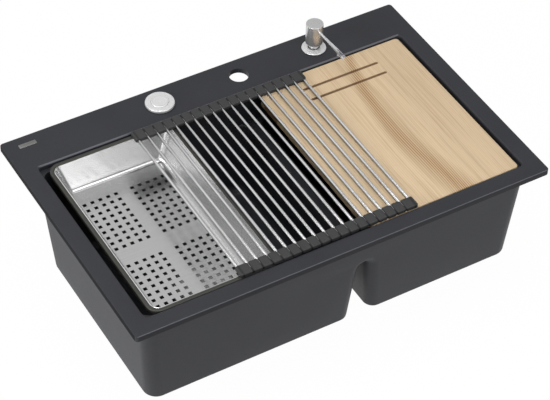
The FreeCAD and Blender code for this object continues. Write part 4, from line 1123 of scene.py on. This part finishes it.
@dataclass
class SoapDispenser(Assembly):
    """Collar, pump head and spout.

    Heights are measured from the deck's top. The slope and the foot of the collar are given as radius and
    height, and the head's channel and socket as radius and the height that they start from.
    """

    centre: Point = (204.0, 210.0, 11.0)
    collar_radius: float = 22.0
    collar_top: float = 3.8
    collar_slope: Outline = ((13.1, 3.8), (13.5, 3.72), (16.0, 3.2), (18.8, 2.72))
    collar_edge: float = 2.25
    collar_round: float = 0.8
    collar_foot: Outline = ((22.0, 1.2), (21.8, 1.0))
    collar_bore: float = 10.6
    chamfer: float = 0.3
    gasket: float = 1.0
    shank_radius: float = 13.4
    shank_foot: float = -43.0
    counterbore: float = 12.2
    counterbore_top: float = -9.0
    head_radius: float = 15.6
    head_foot: float = 12.0
    foot_round: float = 4.0
    head_top: float = 56.0
    top_round: float = 0.9
    channel: Pair = (1.2, 40.0)
    socket: Pair = (3.0, 20.0)
    sleeve_radius: float = 9.0
    sleeve_bore: float = 7.8
    sleeve_foot: float = 2.0
    spout_height: float = 48.0
    spout_radius: float = 2.0
    spout_wall: float = 0.8
    spout_start: float = 12.6
    spout_reach: float = 88.0
    spout_bend: float = 3.5
    spout_drop: float = 1.0

    def build(self) -> None:
        """Every piece above the deck."""
        bore, chamfer = self.collar_bore, self.chamfer
        self.collar = Workpiece.turned("dispenser_rosette", self.centre, [
            (bore, self.collar_top - chamfer), (bore + chamfer, self.collar_top), *self.collar_slope,
            *rounding((self.collar_radius, self.collar_edge), self.collar_round, 80, 0), *self.collar_foot,
            (self.shank_radius, self.gasket), (self.shank_radius, self.shank_foot),
            (self.counterbore, self.shank_foot), (self.counterbore, self.counterbore_top),
            (bore, self.counterbore_top), (bore, self.collar_top - chamfer)])
        channel, channel_foot = self.channel
        socket, socket_foot = self.socket
        self.head = Workpiece.turned("pump_cap", self.centre, [
            (channel, self.spout_height), (channel, channel_foot), (socket, channel_foot), (socket, socket_foot),
            (self.sleeve_bore, socket_foot), (self.sleeve_bore, self.sleeve_foot + chamfer),
            (self.sleeve_bore + chamfer, self.sleeve_foot), (self.sleeve_radius - chamfer, self.sleeve_foot),
            (self.sleeve_radius, self.sleeve_foot + chamfer), (self.sleeve_radius, self.head_foot),
            *rounding((self.head_radius, self.head_foot), self.foot_round, -90, 0, 8),
            *rounding((self.head_radius, self.head_top), self.top_round, 0, 90, 4)])
        self.build_spout()

    def build_spout(self) -> None:
        """A ring drawn out to the front, spun downwards at its end and given a wall."""
        deselect()
        x, y, z = self.centre
        level, bend_at = z + self.spout_height, y - self.spout_reach + self.spout_bend
        bpy.ops.mesh.primitive_circle_add(vertices=24, radius=self.spout_radius * MM,
                                          location=Vector((x, y - self.spout_start, level)) * MM,
                                          rotation=(math.pi / 2, 0, 0))
        self.spout = Workpiece.started("pump_spout")
        with self.spout.editing(Select.EDGES):
            bpy.ops.mesh.select_all(action="SELECT")
            bpy.ops.mesh.extrude_edges_move(
                TRANSFORM_OT_translate={"value": (0, (bend_at - y + self.spout_start) * MM, 0)})
            bpy.ops.mesh.spin(steps=10, angle=math.pi / 2, axis=(1, 0, 0),
                              center=Vector((x, bend_at, level - self.spout_bend)) * MM)
            bpy.ops.mesh.extrude_edges_move(TRANSFORM_OT_translate={"value": (0, 0, -self.spout_drop * MM)})
            bpy.ops.mesh.select_all(action="SELECT")
            bpy.ops.mesh.remove_doubles(threshold=TOUCH * MM)
            bpy.ops.mesh.normals_make_consistent(inside=False)
        self.spout.thicken(self.spout_wall)

    def dress(self) -> None:
        """Bright steel above the deck, white plastic under it."""
        self.collar.finished(Finishes.ROSETTE_STEEL, "sink", ["dispenser_collar"])
        self.head.finished(Finishes.DISPENSER_STEEL, "dispenser_head", ["pump_head"])
        self.spout.finished(Finishes.SPOUT_STEEL, "dispenser_head", ["spout"], smooth=50)
        dress_nodes(Finishes.RUBBER, "dispenser_gasket")
        dress_nodes(Finishes.BLACK_PLASTIC, "dispenser_washer", "dispenser_nut")
        dress_nodes(Finishes.WHITE_PLASTIC, "dispenser_bottle", "pump_barrel", "dip_tube")
        dress_nodes(Finishes.HARDWARE_STEEL, "pump_stem", "pump_spring")


class Side(Enum):
    """Which bowl a waste belongs to."""

    LEFT = "left"
    RIGHT = "right"


@dataclass
class Waste(Assembly):
    """One bowl's waste. Heights are measured from the bowl's floor."""

    side: Side
    centre: Point
    finish: Finish
    screw_bore: float
    rim_radius: float = 57.0
    rim_top: float = 3.8
    rim_round: float = 0.9
    seal: float = 2.0
    throat_radius: float = 43.5
    throat_round: float = 2.2
    throat_foot: float = -32.0
    steel: float = 1.7
    drain_radius: float = 6.0
    drain_circle: float = 26.0
    drains: int = 8
    drill: float = 10.0

    def build(self) -> None:
        """The dished flange with its ring of drain holes."""
        inside = self.throat_radius - self.steel
        plate_top = self.throat_foot + self.steel
        self.flange = Workpiece.turned(f"waste_dish_{self.side.value}", self.centre, [
            (inside + self.throat_round, self.rim_top),
            *rounding((self.rim_radius, self.rim_top), self.rim_round, 90, 0, 4),
            (self.rim_radius, self.seal), (self.throat_radius, self.seal), (self.throat_radius, self.throat_foot),
            (self.screw_bore, self.throat_foot), (self.screw_bore, plate_top), (inside, plate_top),
            *rounding((inside, self.rim_top), self.throat_round, 180, 90, 5)])
        drill_foot = Vector(self.centre) + Vector((self.drain_circle, 0, plate_top - self.drill / 2))
        drill = Workpiece.peg("drain_drill", drill_foot, self.drain_radius, self.drill)
        self.flange.cut_with(drill.around(self.centre, self.drains))

    def dress(self) -> None:
        """Turned steel, black plastic below the bowl and rubber between."""
        name = self.side.value
        self.flange.finished(self.finish, "sink", [f"waste_flange_{name}"])
        dress_nodes(Finishes.RUBBER, f"waste_seal_{name}", f"waste_gasket_{name}")
        dress_nodes(Finishes.BLACK_PLASTIC, f"waste_cup_{name}")
        dress_nodes(Finishes.HARDWARE_STEEL, f"waste_screw_{name}")


@dataclass
class PopUpWaste(Waste):
    """The left bowl's waste, with the plug that the button lifts. Its pressing is given as radius and depth."""

    plug_radius: float = 46.0
    plug_top: float = 6.3
    plug_round: float = 1.0
    pressing: Outline = ((12.0, 0.5), (30.0, 0.5), (32.0, 0.1), (34.0, 0.0))
    post_radius: float = 5.0
    post_foot: float = -22.0

    def build(self) -> None:
        """The flange and a plug with a shallow ring pressed into it."""
        super().build()
        self.plug = Workpiece.turned("lifting_plug", self.centre, [
            *((radius, self.plug_top - depth) for radius, depth in self.pressing),
            *rounding((self.plug_radius, self.plug_top), self.plug_round, 90, 0, 4),
            (self.plug_radius, self.rim_top), (self.post_radius, self.rim_top),
            (self.post_radius, self.post_foot)])

    def dress(self) -> None:
        """The same steel on the plug."""
        super().dress()
        self.plug.finished(self.finish, "plug", ["strainer_plug_left"])
        dress_nodes(Finishes.HARDWARE_STEEL, "lift_pin_left")


@dataclass
class BasketWaste(Waste):
    """The right bowl's waste, with a strainer basket that lifts out by its knob."""

    basket_rim: float = 46.0
    basket_radius: float = 38.5
    basket_steel: float = 1.2
    basket_foot: float = -24.0
    basket_rounds: Pair = (2.0, 1.0)
    basket_chamfer: float = 0.4
    middle_radius: float = 8.0
    neck_radius: float = 4.2
    neck_rise: float = 6.0
    neck_top: float = 5.0
    knob_radius: float = 6.0
    knob_side: Pair = (8.0, 10.0)
    knob_round: float = 3.0
    knob_top: float = 14.0
    hole_radius: float = 2.4
    hole_circles: tuple[float, ...] = (14.0, 22.0, 30.0)
    holes: int = 12
    hole_drill: float = 6.0
    under_floor: float = 4.0

    def build(self) -> None:
        """The flange, and the basket with its pierced floor and its knob."""
        super().build()
        inside, floor = self.basket_radius - self.basket_steel, self.basket_foot + self.basket_steel
        top, rim, chamfer = self.rim_top + self.basket_steel, self.basket_rim, self.basket_chamfer
        outer, inner = self.basket_rounds
        self.basket = Workpiece.turned("strainer_basket", self.centre, [
            (self.middle_radius, self.basket_foot),
            *rounding((self.basket_radius, self.basket_foot), outer, -90, 0, 4),
            (self.basket_radius, self.rim_top), (rim, self.rim_top), (rim, top - chamfer), (rim - chamfer, top),
            (inside + inner, top), (inside, top - inner), *rounding((inside, floor), inner, 0, -90, 3),
            (self.knob_radius, floor), (self.neck_radius, floor + self.neck_rise),
            (self.neck_radius, self.neck_top), *((self.knob_radius, level) for level in self.knob_side),
            *rounding((self.knob_radius, self.knob_top), self.knob_round, 0, 80)])
        for circle in self.hole_circles:
            drill_foot = Vector(self.centre) + Vector((circle, 0, floor - self.under_floor))
            drill = Workpiece.peg("basket_drill", drill_foot, self.hole_radius, self.hole_drill, 16)
            self.basket.cut_with(drill.around(self.centre, self.holes))

    def dress(self) -> None:
        """The same steel on the basket."""
        super().dress()
        self.basket.finished(self.finish, "basket", ["strainer_basket_right"])


@dataclass
class Overflow(Assembly):
    """The overflow in the left bowl's rear wall, whose pieces keep their own shapes."""

    metal: tuple[str, ...] = ("overflow_cover", "overflow_screw")
    moulded: tuple[str, ...] = ("overflow_elbow",)
    seals: tuple[str, ...] = ("overflow_seal",)

    def dress(self) -> None:
        """Steel inside the bowl, black plastic and rubber behind it."""
        dress_nodes(Finishes.HARDWARE_STEEL, *self.metal)
        dress_nodes(Finishes.BLACK_PLASTIC, *self.moulded)
        dress_nodes(Finishes.RUBBER, *self.seals)


@dataclass
class Colander(Assembly):
    """The pressed tray with four groups of square holes, in its dark band."""

    low: Point = (-344.5, -216.5, 1.0)
    high: Point = (-106.5, 165.5, 8.0)
    corner: float = 22.0
    band: float = 7.5
    edge: float = 1.5
    tray_top: float = 7.0
    tray_floor: float = -55.0
    tray_corner: float = 15.0
    slope: Pair = (23.5, 8.0)
    fold: float = 8.0
    steel: float = 1.0
    hole: float = 6.5
    first_hole: Pair = (-302.0, 110.5)
    pitch: Pair = (14.8, 14.65)
    group_step: Pair = (89.5, 161.0)
    columns: int = 5
    rows: int = 9

    def build(self) -> None:
        """The band, then the tray."""
        self.build_rim()
        self.build_tray()

    def build_rim(self) -> None:
        """A rounded slab, inset, opened through the middle and bridged."""
        self.rim = Workpiece.block("tray_rim", self.low, self.high)
        self.rim.round_uprights(self.corner, 12)
        with self.rim.editing(Select.FACES):
            self.rim.choose_faces(lambda centre, normal: abs(normal.z) > 0.9)
            bpy.ops.mesh.inset(thickness=self.band * MM, use_individual=True)
            bpy.ops.mesh.delete(type="FACE")
            bpy.ops.mesh.select_mode(type="EDGE")
            bpy.ops.mesh.select_non_manifold(extend=False)
            bpy.ops.mesh.bridge_edge_loops()
            self.rim.choose_edges(lambda middle, way: middle.z > self.high[2] - TOUCH, above=50)
            self.rim.bevel_edges(self.edge, 4)
            bpy.ops.mesh.select_all(action="SELECT")
            bpy.ops.mesh.normals_make_consistent(inside=False)

    def hole_lines(self, axis: int) -> list[Pair]:
        """Both edges of every row of holes along one axis.

        Args:
            axis: 0 for columns along X, 1 for rows along Y.

        Returns:
            Low and high edge of each row.
        """
        count, way = (self.columns, 1) if axis == 0 else (self.rows, -1)
        middles = [self.first_hole[axis] + way * (self.group_step[axis] * group + self.pitch[axis] * step)
                   for group in range(2) for step in range(count)]
        return [(middle - self.hole / 2, middle + self.hole / 2) for middle in middles]

    def build_tray(self) -> None:
        """A tapered box, folded at its foot, pierced, opened and given its steel."""
        left, front = self.low[0] + self.band, self.low[1] + self.band
        right, rear = self.high[0] - self.band, self.high[1] - self.band
        foot = self.tray_floor - self.steel
        self.tray = Workpiece.block("pressed_tray", (left, front, foot), (right, rear, self.tray_top))
        self.tray.round_uprights(self.tray_corner, 8)
        middle = Vector(((left + right) / 2, (front + rear) / 2, 0)) * MM
        with self.tray.editing(Select.POINTS):
            self.tray.choose_points(lambda point: point.z < foot + 1)
            bpy.ops.transform.resize(value=(1 - 2 * self.slope[0] / (right - left),
                                            1 - 2 * self.slope[1] / (rear - front), 1), center_override=middle)
        with self.tray.editing(Select.EDGES):
            self.tray.choose_edges(lambda centre, way: centre.z < foot + TOUCH)
            self.tray.bevel_edges(self.fold, 6)
        self.pierce(foot)
        with self.tray.editing(Select.FACES):
            self.tray.choose_faces(lambda centre, normal: centre.z > self.tray_top - TOUCH)
            bpy.ops.mesh.delete(type="FACE")
        self.tray.thicken(self.steel)

    def pierce(self, foot: float) -> None:
        """Divide the floor along the edges of the holes and take the holes out.

        Args:
            foot: The height of the floor's lower side.
        """
        columns, rows = self.hole_lines(0), self.hole_lines(1)
        with self.tray.editing(Select.FACES):
            for axis, lines in enumerate((columns, rows)):
                normal = (1, 0, 0) if axis == 0 else (0, 1, 0)
                for line in [edge for pair in lines for edge in pair]:
                    self.tray.choose_faces(lambda centre, way: way.z < -0.99 and centre.z < foot + TOUCH)
                    bpy.ops.mesh.bisect(plane_co=Vector(normal) * line * MM, plane_no=normal)
            self.tray.choose_faces(lambda centre, way: way.z < -0.99
                                   and any(low < centre.x < high for low, high in columns)
                                   and any(low < centre.y < high for low, high in rows))
            bpy.ops.mesh.delete(type="FACE")

    def dress(self) -> None:
        """Satin steel in a dark moulded band."""
        self.rim.finished(Finishes.RIM_PLASTIC, "colander", ["colander_rim"])
        self.tray.finished(Finishes.TRAY_STEEL, "colander", ["colander_tray"])


@dataclass
class CuttingBoard(Assembly):
    """The board: a lip that rests on the ledges, a core between the bowl walls and two grooves."""

    lip_low: Point = (58.0, -216.5, 1.0)
    lip_high: Point = (351.0, 165.5, 8.0)
    lip_corner: float = 7.0
    core_low: Point = (58.0, -208.0, -12.0)
    core_high: Point = (349.5, 157.0, 4.0)
    core_corner: float = 18.0
    edge: float = 1.6
    groove_ends: Pair = (131.5, 285.5)
    groove_rows: Pair = (124.5, 95.5)
    groove_width: float = 6.0
    groove_depth: float = 4.0
    groove_round: float = 2.2
    groove_clear: float = 6.0

    def build(self) -> None:
        """Lip and core joined, eased all round and grooved."""
        self.board = Workpiece.block("wooden_board", self.lip_low, self.lip_high)
        self.board.round_uprights(self.lip_corner, 6)
        core = Workpiece.block("board_core", self.core_low, self.core_high)
        core.round_uprights(self.core_corner, 8)
        self.board.joined_with(core)
        with self.board.editing(Select.EDGES):
            self.board.choose_edges(lambda middle, way: middle.z > self.lip_high[2] - TOUCH, above=50)
            self.board.bevel_edges(self.edge, 4)
            self.board.choose_edges(lambda middle, way: middle.z < self.core_low[2] + TOUCH, above=50)
            self.board.bevel_edges(self.edge, 3)
        row, top, half = self.groove_rows[0], self.lip_high[2], self.groove_width / 2
        gouge = Workpiece.block("groove_gouge", (self.groove_ends[0], row - half, top - self.groove_depth),
                                (self.groove_ends[1], row + half, top + self.groove_clear))
        gouge.round_uprights(half - 0.05, 8)
        with gouge.editing(Select.EDGES):
            gouge.choose_edges(lambda middle, way: middle.z < top - self.groove_depth + TOUCH)
            gouge.bevel_edges(self.groove_round, 5)
        gouge.repeated([(0, self.groove_rows[1] - row, 0)])
        self.board.cut_with(gouge)

    def dress(self) -> None:
        """Pale oiled wood."""
        self.board.finished(Finishes.WOOD, "board", ["cutting_board"])


@dataclass
class RollUpMat(Assembly):
    """Steel rods held in two creased strips of silicone, in panels that fold."""

    panels: tuple[int, ...] = (3, 3, 3, 3, 3, 4)
    first_rod: float = -180.0
    pitch: float = 18.0
    end: float = 5.0
    end_round: float = 3.0
    strips: tuple[Pair, ...] = ((-217.0, -194.5), (143.5, 166.0))
    strip_foot: float = 8.0
    strip_top: float = 16.0
    strip_round: float = 1.6
    crease_half: float = 2.6
    crease_in: float = 1.3
    crease_down: float = 1.9
    rod_ends: Pair = (-207.0, 156.0)
    rod_radius: float = 2.75
    rod_ease: float = 0.5
    rod_level: float = 11.5

    def build(self) -> None:
        """Each panel's strips and rods."""
        self.pieces: list[tuple[Workpiece, Workpiece]] = []
        first = 0
        for number, count in enumerate(self.panels, start=1):
            axes = [self.first_rod + self.pitch * rod for rod in range(first, first + count)]
            rods = self.rods(f"panel_{number}_rods", axes)
            strips = self.strip_pair(number, axes)
            strips.cut_with(self.rods("rod_drill", axes))
            self.pieces.append((strips, rods))
            first += count

    def rods(self, name: str, axes: Sequence[float]) -> Workpiece:
        """Straight rods with eased ends.

        Args:
            name: The piece's name.
            axes: Where each rod lies along X.

        Returns:
            The rods as one piece.
        """
        deselect()
        near, far = self.rod_ends
        bpy.ops.mesh.primitive_cylinder_add(
            vertices=24, radius=self.rod_radius * MM, depth=(far - near) * MM,
            location=Vector((axes[0], (near + far) / 2, self.rod_level)) * MM, rotation=(math.pi / 2, 0, 0))
        rod = Workpiece.started(name)
        with rod.editing(Select.EDGES):
            rod.choose_edges(lambda middle, way: abs(way.y) < 0.5)
            rod.bevel_edges(self.rod_ease, 2)
        return rod.repeated([(axis - axes[0], 0, 0) for axis in axes[1:]])

    def strip_pair(self, number: int, axes: Sequence[float]) -> Workpiece:
        """One panel's front and rear strip.

        Args:
            number: The panel's number.
            axes: Where its rods lie along X.

        Returns:
            Both strips as one piece.
        """
        half, count = self.pitch / 2, len(self.panels)
        left = axes[0] - (self.end if number == 1 else half)
        right = axes[-1] + (self.end if number == count else half)
        creases = axes[1 if number == 1 else 0:-1 if number == count else None]
        front, rear = (self.strip(f"panel_{number}_strips", left, right, near, far, creases,
                                  (number == 1, number == count)) for near, far in self.strips)
        take_up(front.item)
        rear.item.select_set(True)
        bpy.ops.object.join()
        return front

    def strip(self, name: str, left: float, right: float, near: float, far: float, creases: Sequence[float],
              free_ends: tuple[bool, bool]) -> Workpiece:
        """A length of strip, pinched in at every crease.

        Args:
            name: The piece's name.
            left: Its left end.
            right: Its right end.
            near: Its front edge.
            far: Its rear edge.
            creases: Where it is pinched.
            free_ends: Whether its left and its right end are the mat's own ends, which are rounded.

        Returns:
            The strip.
        """
        strip = Workpiece.block(name, (left, near, self.strip_foot), (right, far, self.strip_top))
        with strip.editing(Select.EDGES):
            ends = [end for end, free in zip((left, right), free_ends) if free]
            strip.choose_edges(lambda middle, way: abs(way.z) > 0.9 and any(
                abs(middle.x - end) < TOUCH for end in ends))
            if ends:
                strip.bevel_edges(self.end_round, 5)
            strip.choose_edges(lambda middle, way: abs(way.z) < 0.1 and (
                abs(way.x) > 0.01 or any(abs(middle.x - end) < TOUCH for end in ends)))
            strip.bevel_edges(self.strip_round, 4)
        with strip.editing(Select.FACES):
            for crease in creases:
                for line in (crease - self.crease_half, crease, crease + self.crease_half):
                    bpy.ops.mesh.select_all(action="SELECT")
                    bpy.ops.mesh.bisect(plane_co=(line * MM, 0, 0), plane_no=(1, 0, 0))
        centre = Vector((0, (near + far) / 2, (self.strip_foot + self.strip_top) / 2))
        with strip.editing(Select.POINTS):
            strip.choose_points(lambda point: any(abs(point.x - crease) < TOUCH for crease in creases))
            bpy.ops.transform.resize(
                value=(1, 1 - 2 * self.crease_in / (far - near),
                       1 - 2 * self.crease_down / (self.strip_top - self.strip_foot)),
                center_override=centre * MM)
        return strip

    def dress(self) -> None:
        """Bright rods and dark grey silicone."""
        for number, (strips, rods) in enumerate(self.pieces, start=1):
            body = f"mat_panel_{number}"
            strips.finished(Finishes.SILICONE, body, [f"mat_strips_{number}"])
            rods.finished(Finishes.ROD_STEEL, body, [f"mat_rods_{number}"])


@dataclass(frozen=True)
class Lamp:
    """A square softbox: its name, place, the point it faces, its size and its power in watts."""

    name: str
    place: Point
    aim: Point
    size: float
    power: float


@dataclass
class Studio:
    """Floor, lamps, world and camera."""

    target: Point = (-50.09, -90.55, 11.0)
    azimuth: float = -31.248
    elevation: float = 44.433
    roll: float = 1.597
    distance: float = 3453.9
    lens: float = 137.4545
    sensor: float = 36.0
    floor_level: float = -274.0
    floor_half: float = 9000.0
    floor_colour: Colour = (195, 195, 195)
    floor_rough: float = 0.9
    floor_glow: float = 1.02
    floor_shown: float = 0.96
    light: float = 0.36
    reflected: float = 0.64
    lamps: tuple[Lamp, ...] = (
        Lamp("left_softbox", (-2750, -250, 900), (0, 0, -60), 1100, 39.0),
        Lamp("top_softbox", (-500, -200, 2700), (0, 0, 0), 1300, 28.0),
        Lamp("back_softbox", (-700, 1700, 2100), (0, 0, 0), 1500, 4.5),
        Lamp("front_softbox", (880, -2270, 1500), (-160, -120, 0), 1700, 22.0))

    def build(self) -> None:
        """Set up the whole studio."""
        self.build_floor()
        self.build_world()
        self.build_lamps()
        self.build_camera()

    def build_floor(self) -> None:
        """A wide white floor with a faint shadow."""
        deselect()
        bpy.ops.mesh.primitive_plane_add(size=2 * self.floor_half * MM, location=(0, 0, self.floor_level * MM))
        floor = bpy.context.object
        floor.name = "studio_floor"
        material = bpy.data.materials.new("studio_floor")
        board = NodeBoard(material)
        board.show("Base Color", linear(self.floor_colour))
        board.show("Roughness", self.floor_rough)
        glow = board.add("ShaderNodeEmission")
        board.give(glow, "Strength", self.floor_glow)
        rays = board.add("ShaderNodeLightPath").outputs
        seen = board.maths("MAXIMUM", rays["Is Camera Ray"],
                           board.maths("MAXIMUM", rays["Is Glossy Ray"], rays["Is Transmission Ray"]))
        mix = board.add("ShaderNodeMixShader")
        for place, part in enumerate((board.product(seen, self.floor_shown), board.shader.outputs[0],
                                      glow.outputs[0])):
            board.join(part, mix.inputs[place])
        board.join(mix.outputs[0], board.output.inputs["Surface"])
        floor.data.materials.append(material)

    @staticmethod
    def white(tree: NodeTree, strength: float) -> NodeSocket:
        """Plain white light from the world.

        Args:
            tree: The world's nodes.
            strength: How strong it is.

        Returns:
            The light.
        """
        node = tree.nodes.new("ShaderNodeBackground")
        node.inputs["Color"].default_value = (1, 1, 1, 1)
        node.inputs["Strength"].default_value = strength
        return node.outputs[0]

    def build_world(self) -> None:
        """Even white light, paler in reflections and white wherever the camera sees it."""
        world = bpy.data.worlds.new("studio_world")
        bpy.context.scene.world = world
        world.use_nodes = True
        tree = world.node_tree
        tree.nodes.clear()
        rays = tree.nodes.new("ShaderNodeLightPath").outputs
        shown = self.white(tree, self.light)
        for ray, strength in (("Is Glossy Ray", self.reflected), ("Is Transmission Ray", self.reflected),
                              ("Is Camera Ray", 1.0)):
            mix = tree.nodes.new("ShaderNodeMixShader")
            for place, part in enumerate((rays[ray], shown, self.white(tree, strength))):
                tree.links.new(part, mix.inputs[place])
            shown = mix.outputs[0]
        output = tree.nodes.new("ShaderNodeOutputWorld")
        tree.links.new(shown, output.inputs["Surface"])

    def build_lamps(self) -> None:
        """Softboxes around the object, each turned to face it."""
        for lamp in self.lamps:
            light = bpy.data.lights.new(lamp.name, "AREA")
            light.shape = "SQUARE"
            light.size = lamp.size * MM
            light.energy = lamp.power
            box = linked(lamp.name, light)
            box.location = Vector(lamp.place) * MM
            box.rotation_mode = "QUATERNION"
            box.rotation_quaternion = (Vector(lamp.aim) - Vector(lamp.place)).to_track_quat("-Z", "Y")

    def build_camera(self) -> None:
        """The camera at the photograph's angle."""
        around, above = math.radians(self.azimuth), math.radians(self.elevation)
        back = Vector((math.sin(around) * math.cos(above), -math.cos(around) * math.cos(above),
                       math.sin(above)))
        right = (-back).cross(Vector((0, 0, 1))).normalized()
        up = right.cross(-back)
        tilt = math.radians(self.roll)
        rolled_right = right * math.cos(tilt) + up * math.sin(tilt)
        rolled_up = up * math.cos(tilt) - right * math.sin(tilt)
        data = bpy.data.cameras.new("photograph_camera")
        data.lens = self.lens
        data.sensor_width = self.sensor
        data.clip_end = 100.0
        camera = linked("photograph_camera", data)
        turn = Matrix((rolled_right, rolled_up, back)).transposed().to_4x4()
        turn.translation = (Vector(self.target) + back * self.distance) * MM
        camera.matrix_world = turn
        bpy.context.scene.camera = camera


def main() -> None:
    """Build and dress every sub-assembly, then the studio."""
    logging.basicConfig(level=logging.INFO, format="%(message)s")
    bpy.context.scene.view_settings.view_transform = "Standard"
    left_waste = PopUpWaste(Side.LEFT, (-161.0, -34.0, -187.0), Finishes.LEFT_WASTE_STEEL, 6.2)
    right_waste = BasketWaste(Side.RIGHT, (207.0, -34.0, -187.0), Finishes.RIGHT_WASTE_STEEL, 4.2)
    for assembly in (SinkBody(), PushButton(), SoapDispenser(), left_waste, right_waste, Overflow(), Colander(),
                     CuttingBoard(), RollUpMat()):
        assembly.build()
        assembly.dress()
        LOG.info("%s is finished", type(assembly).__name__)
    Studio().build()


if __name__ == "__main__":
    main()
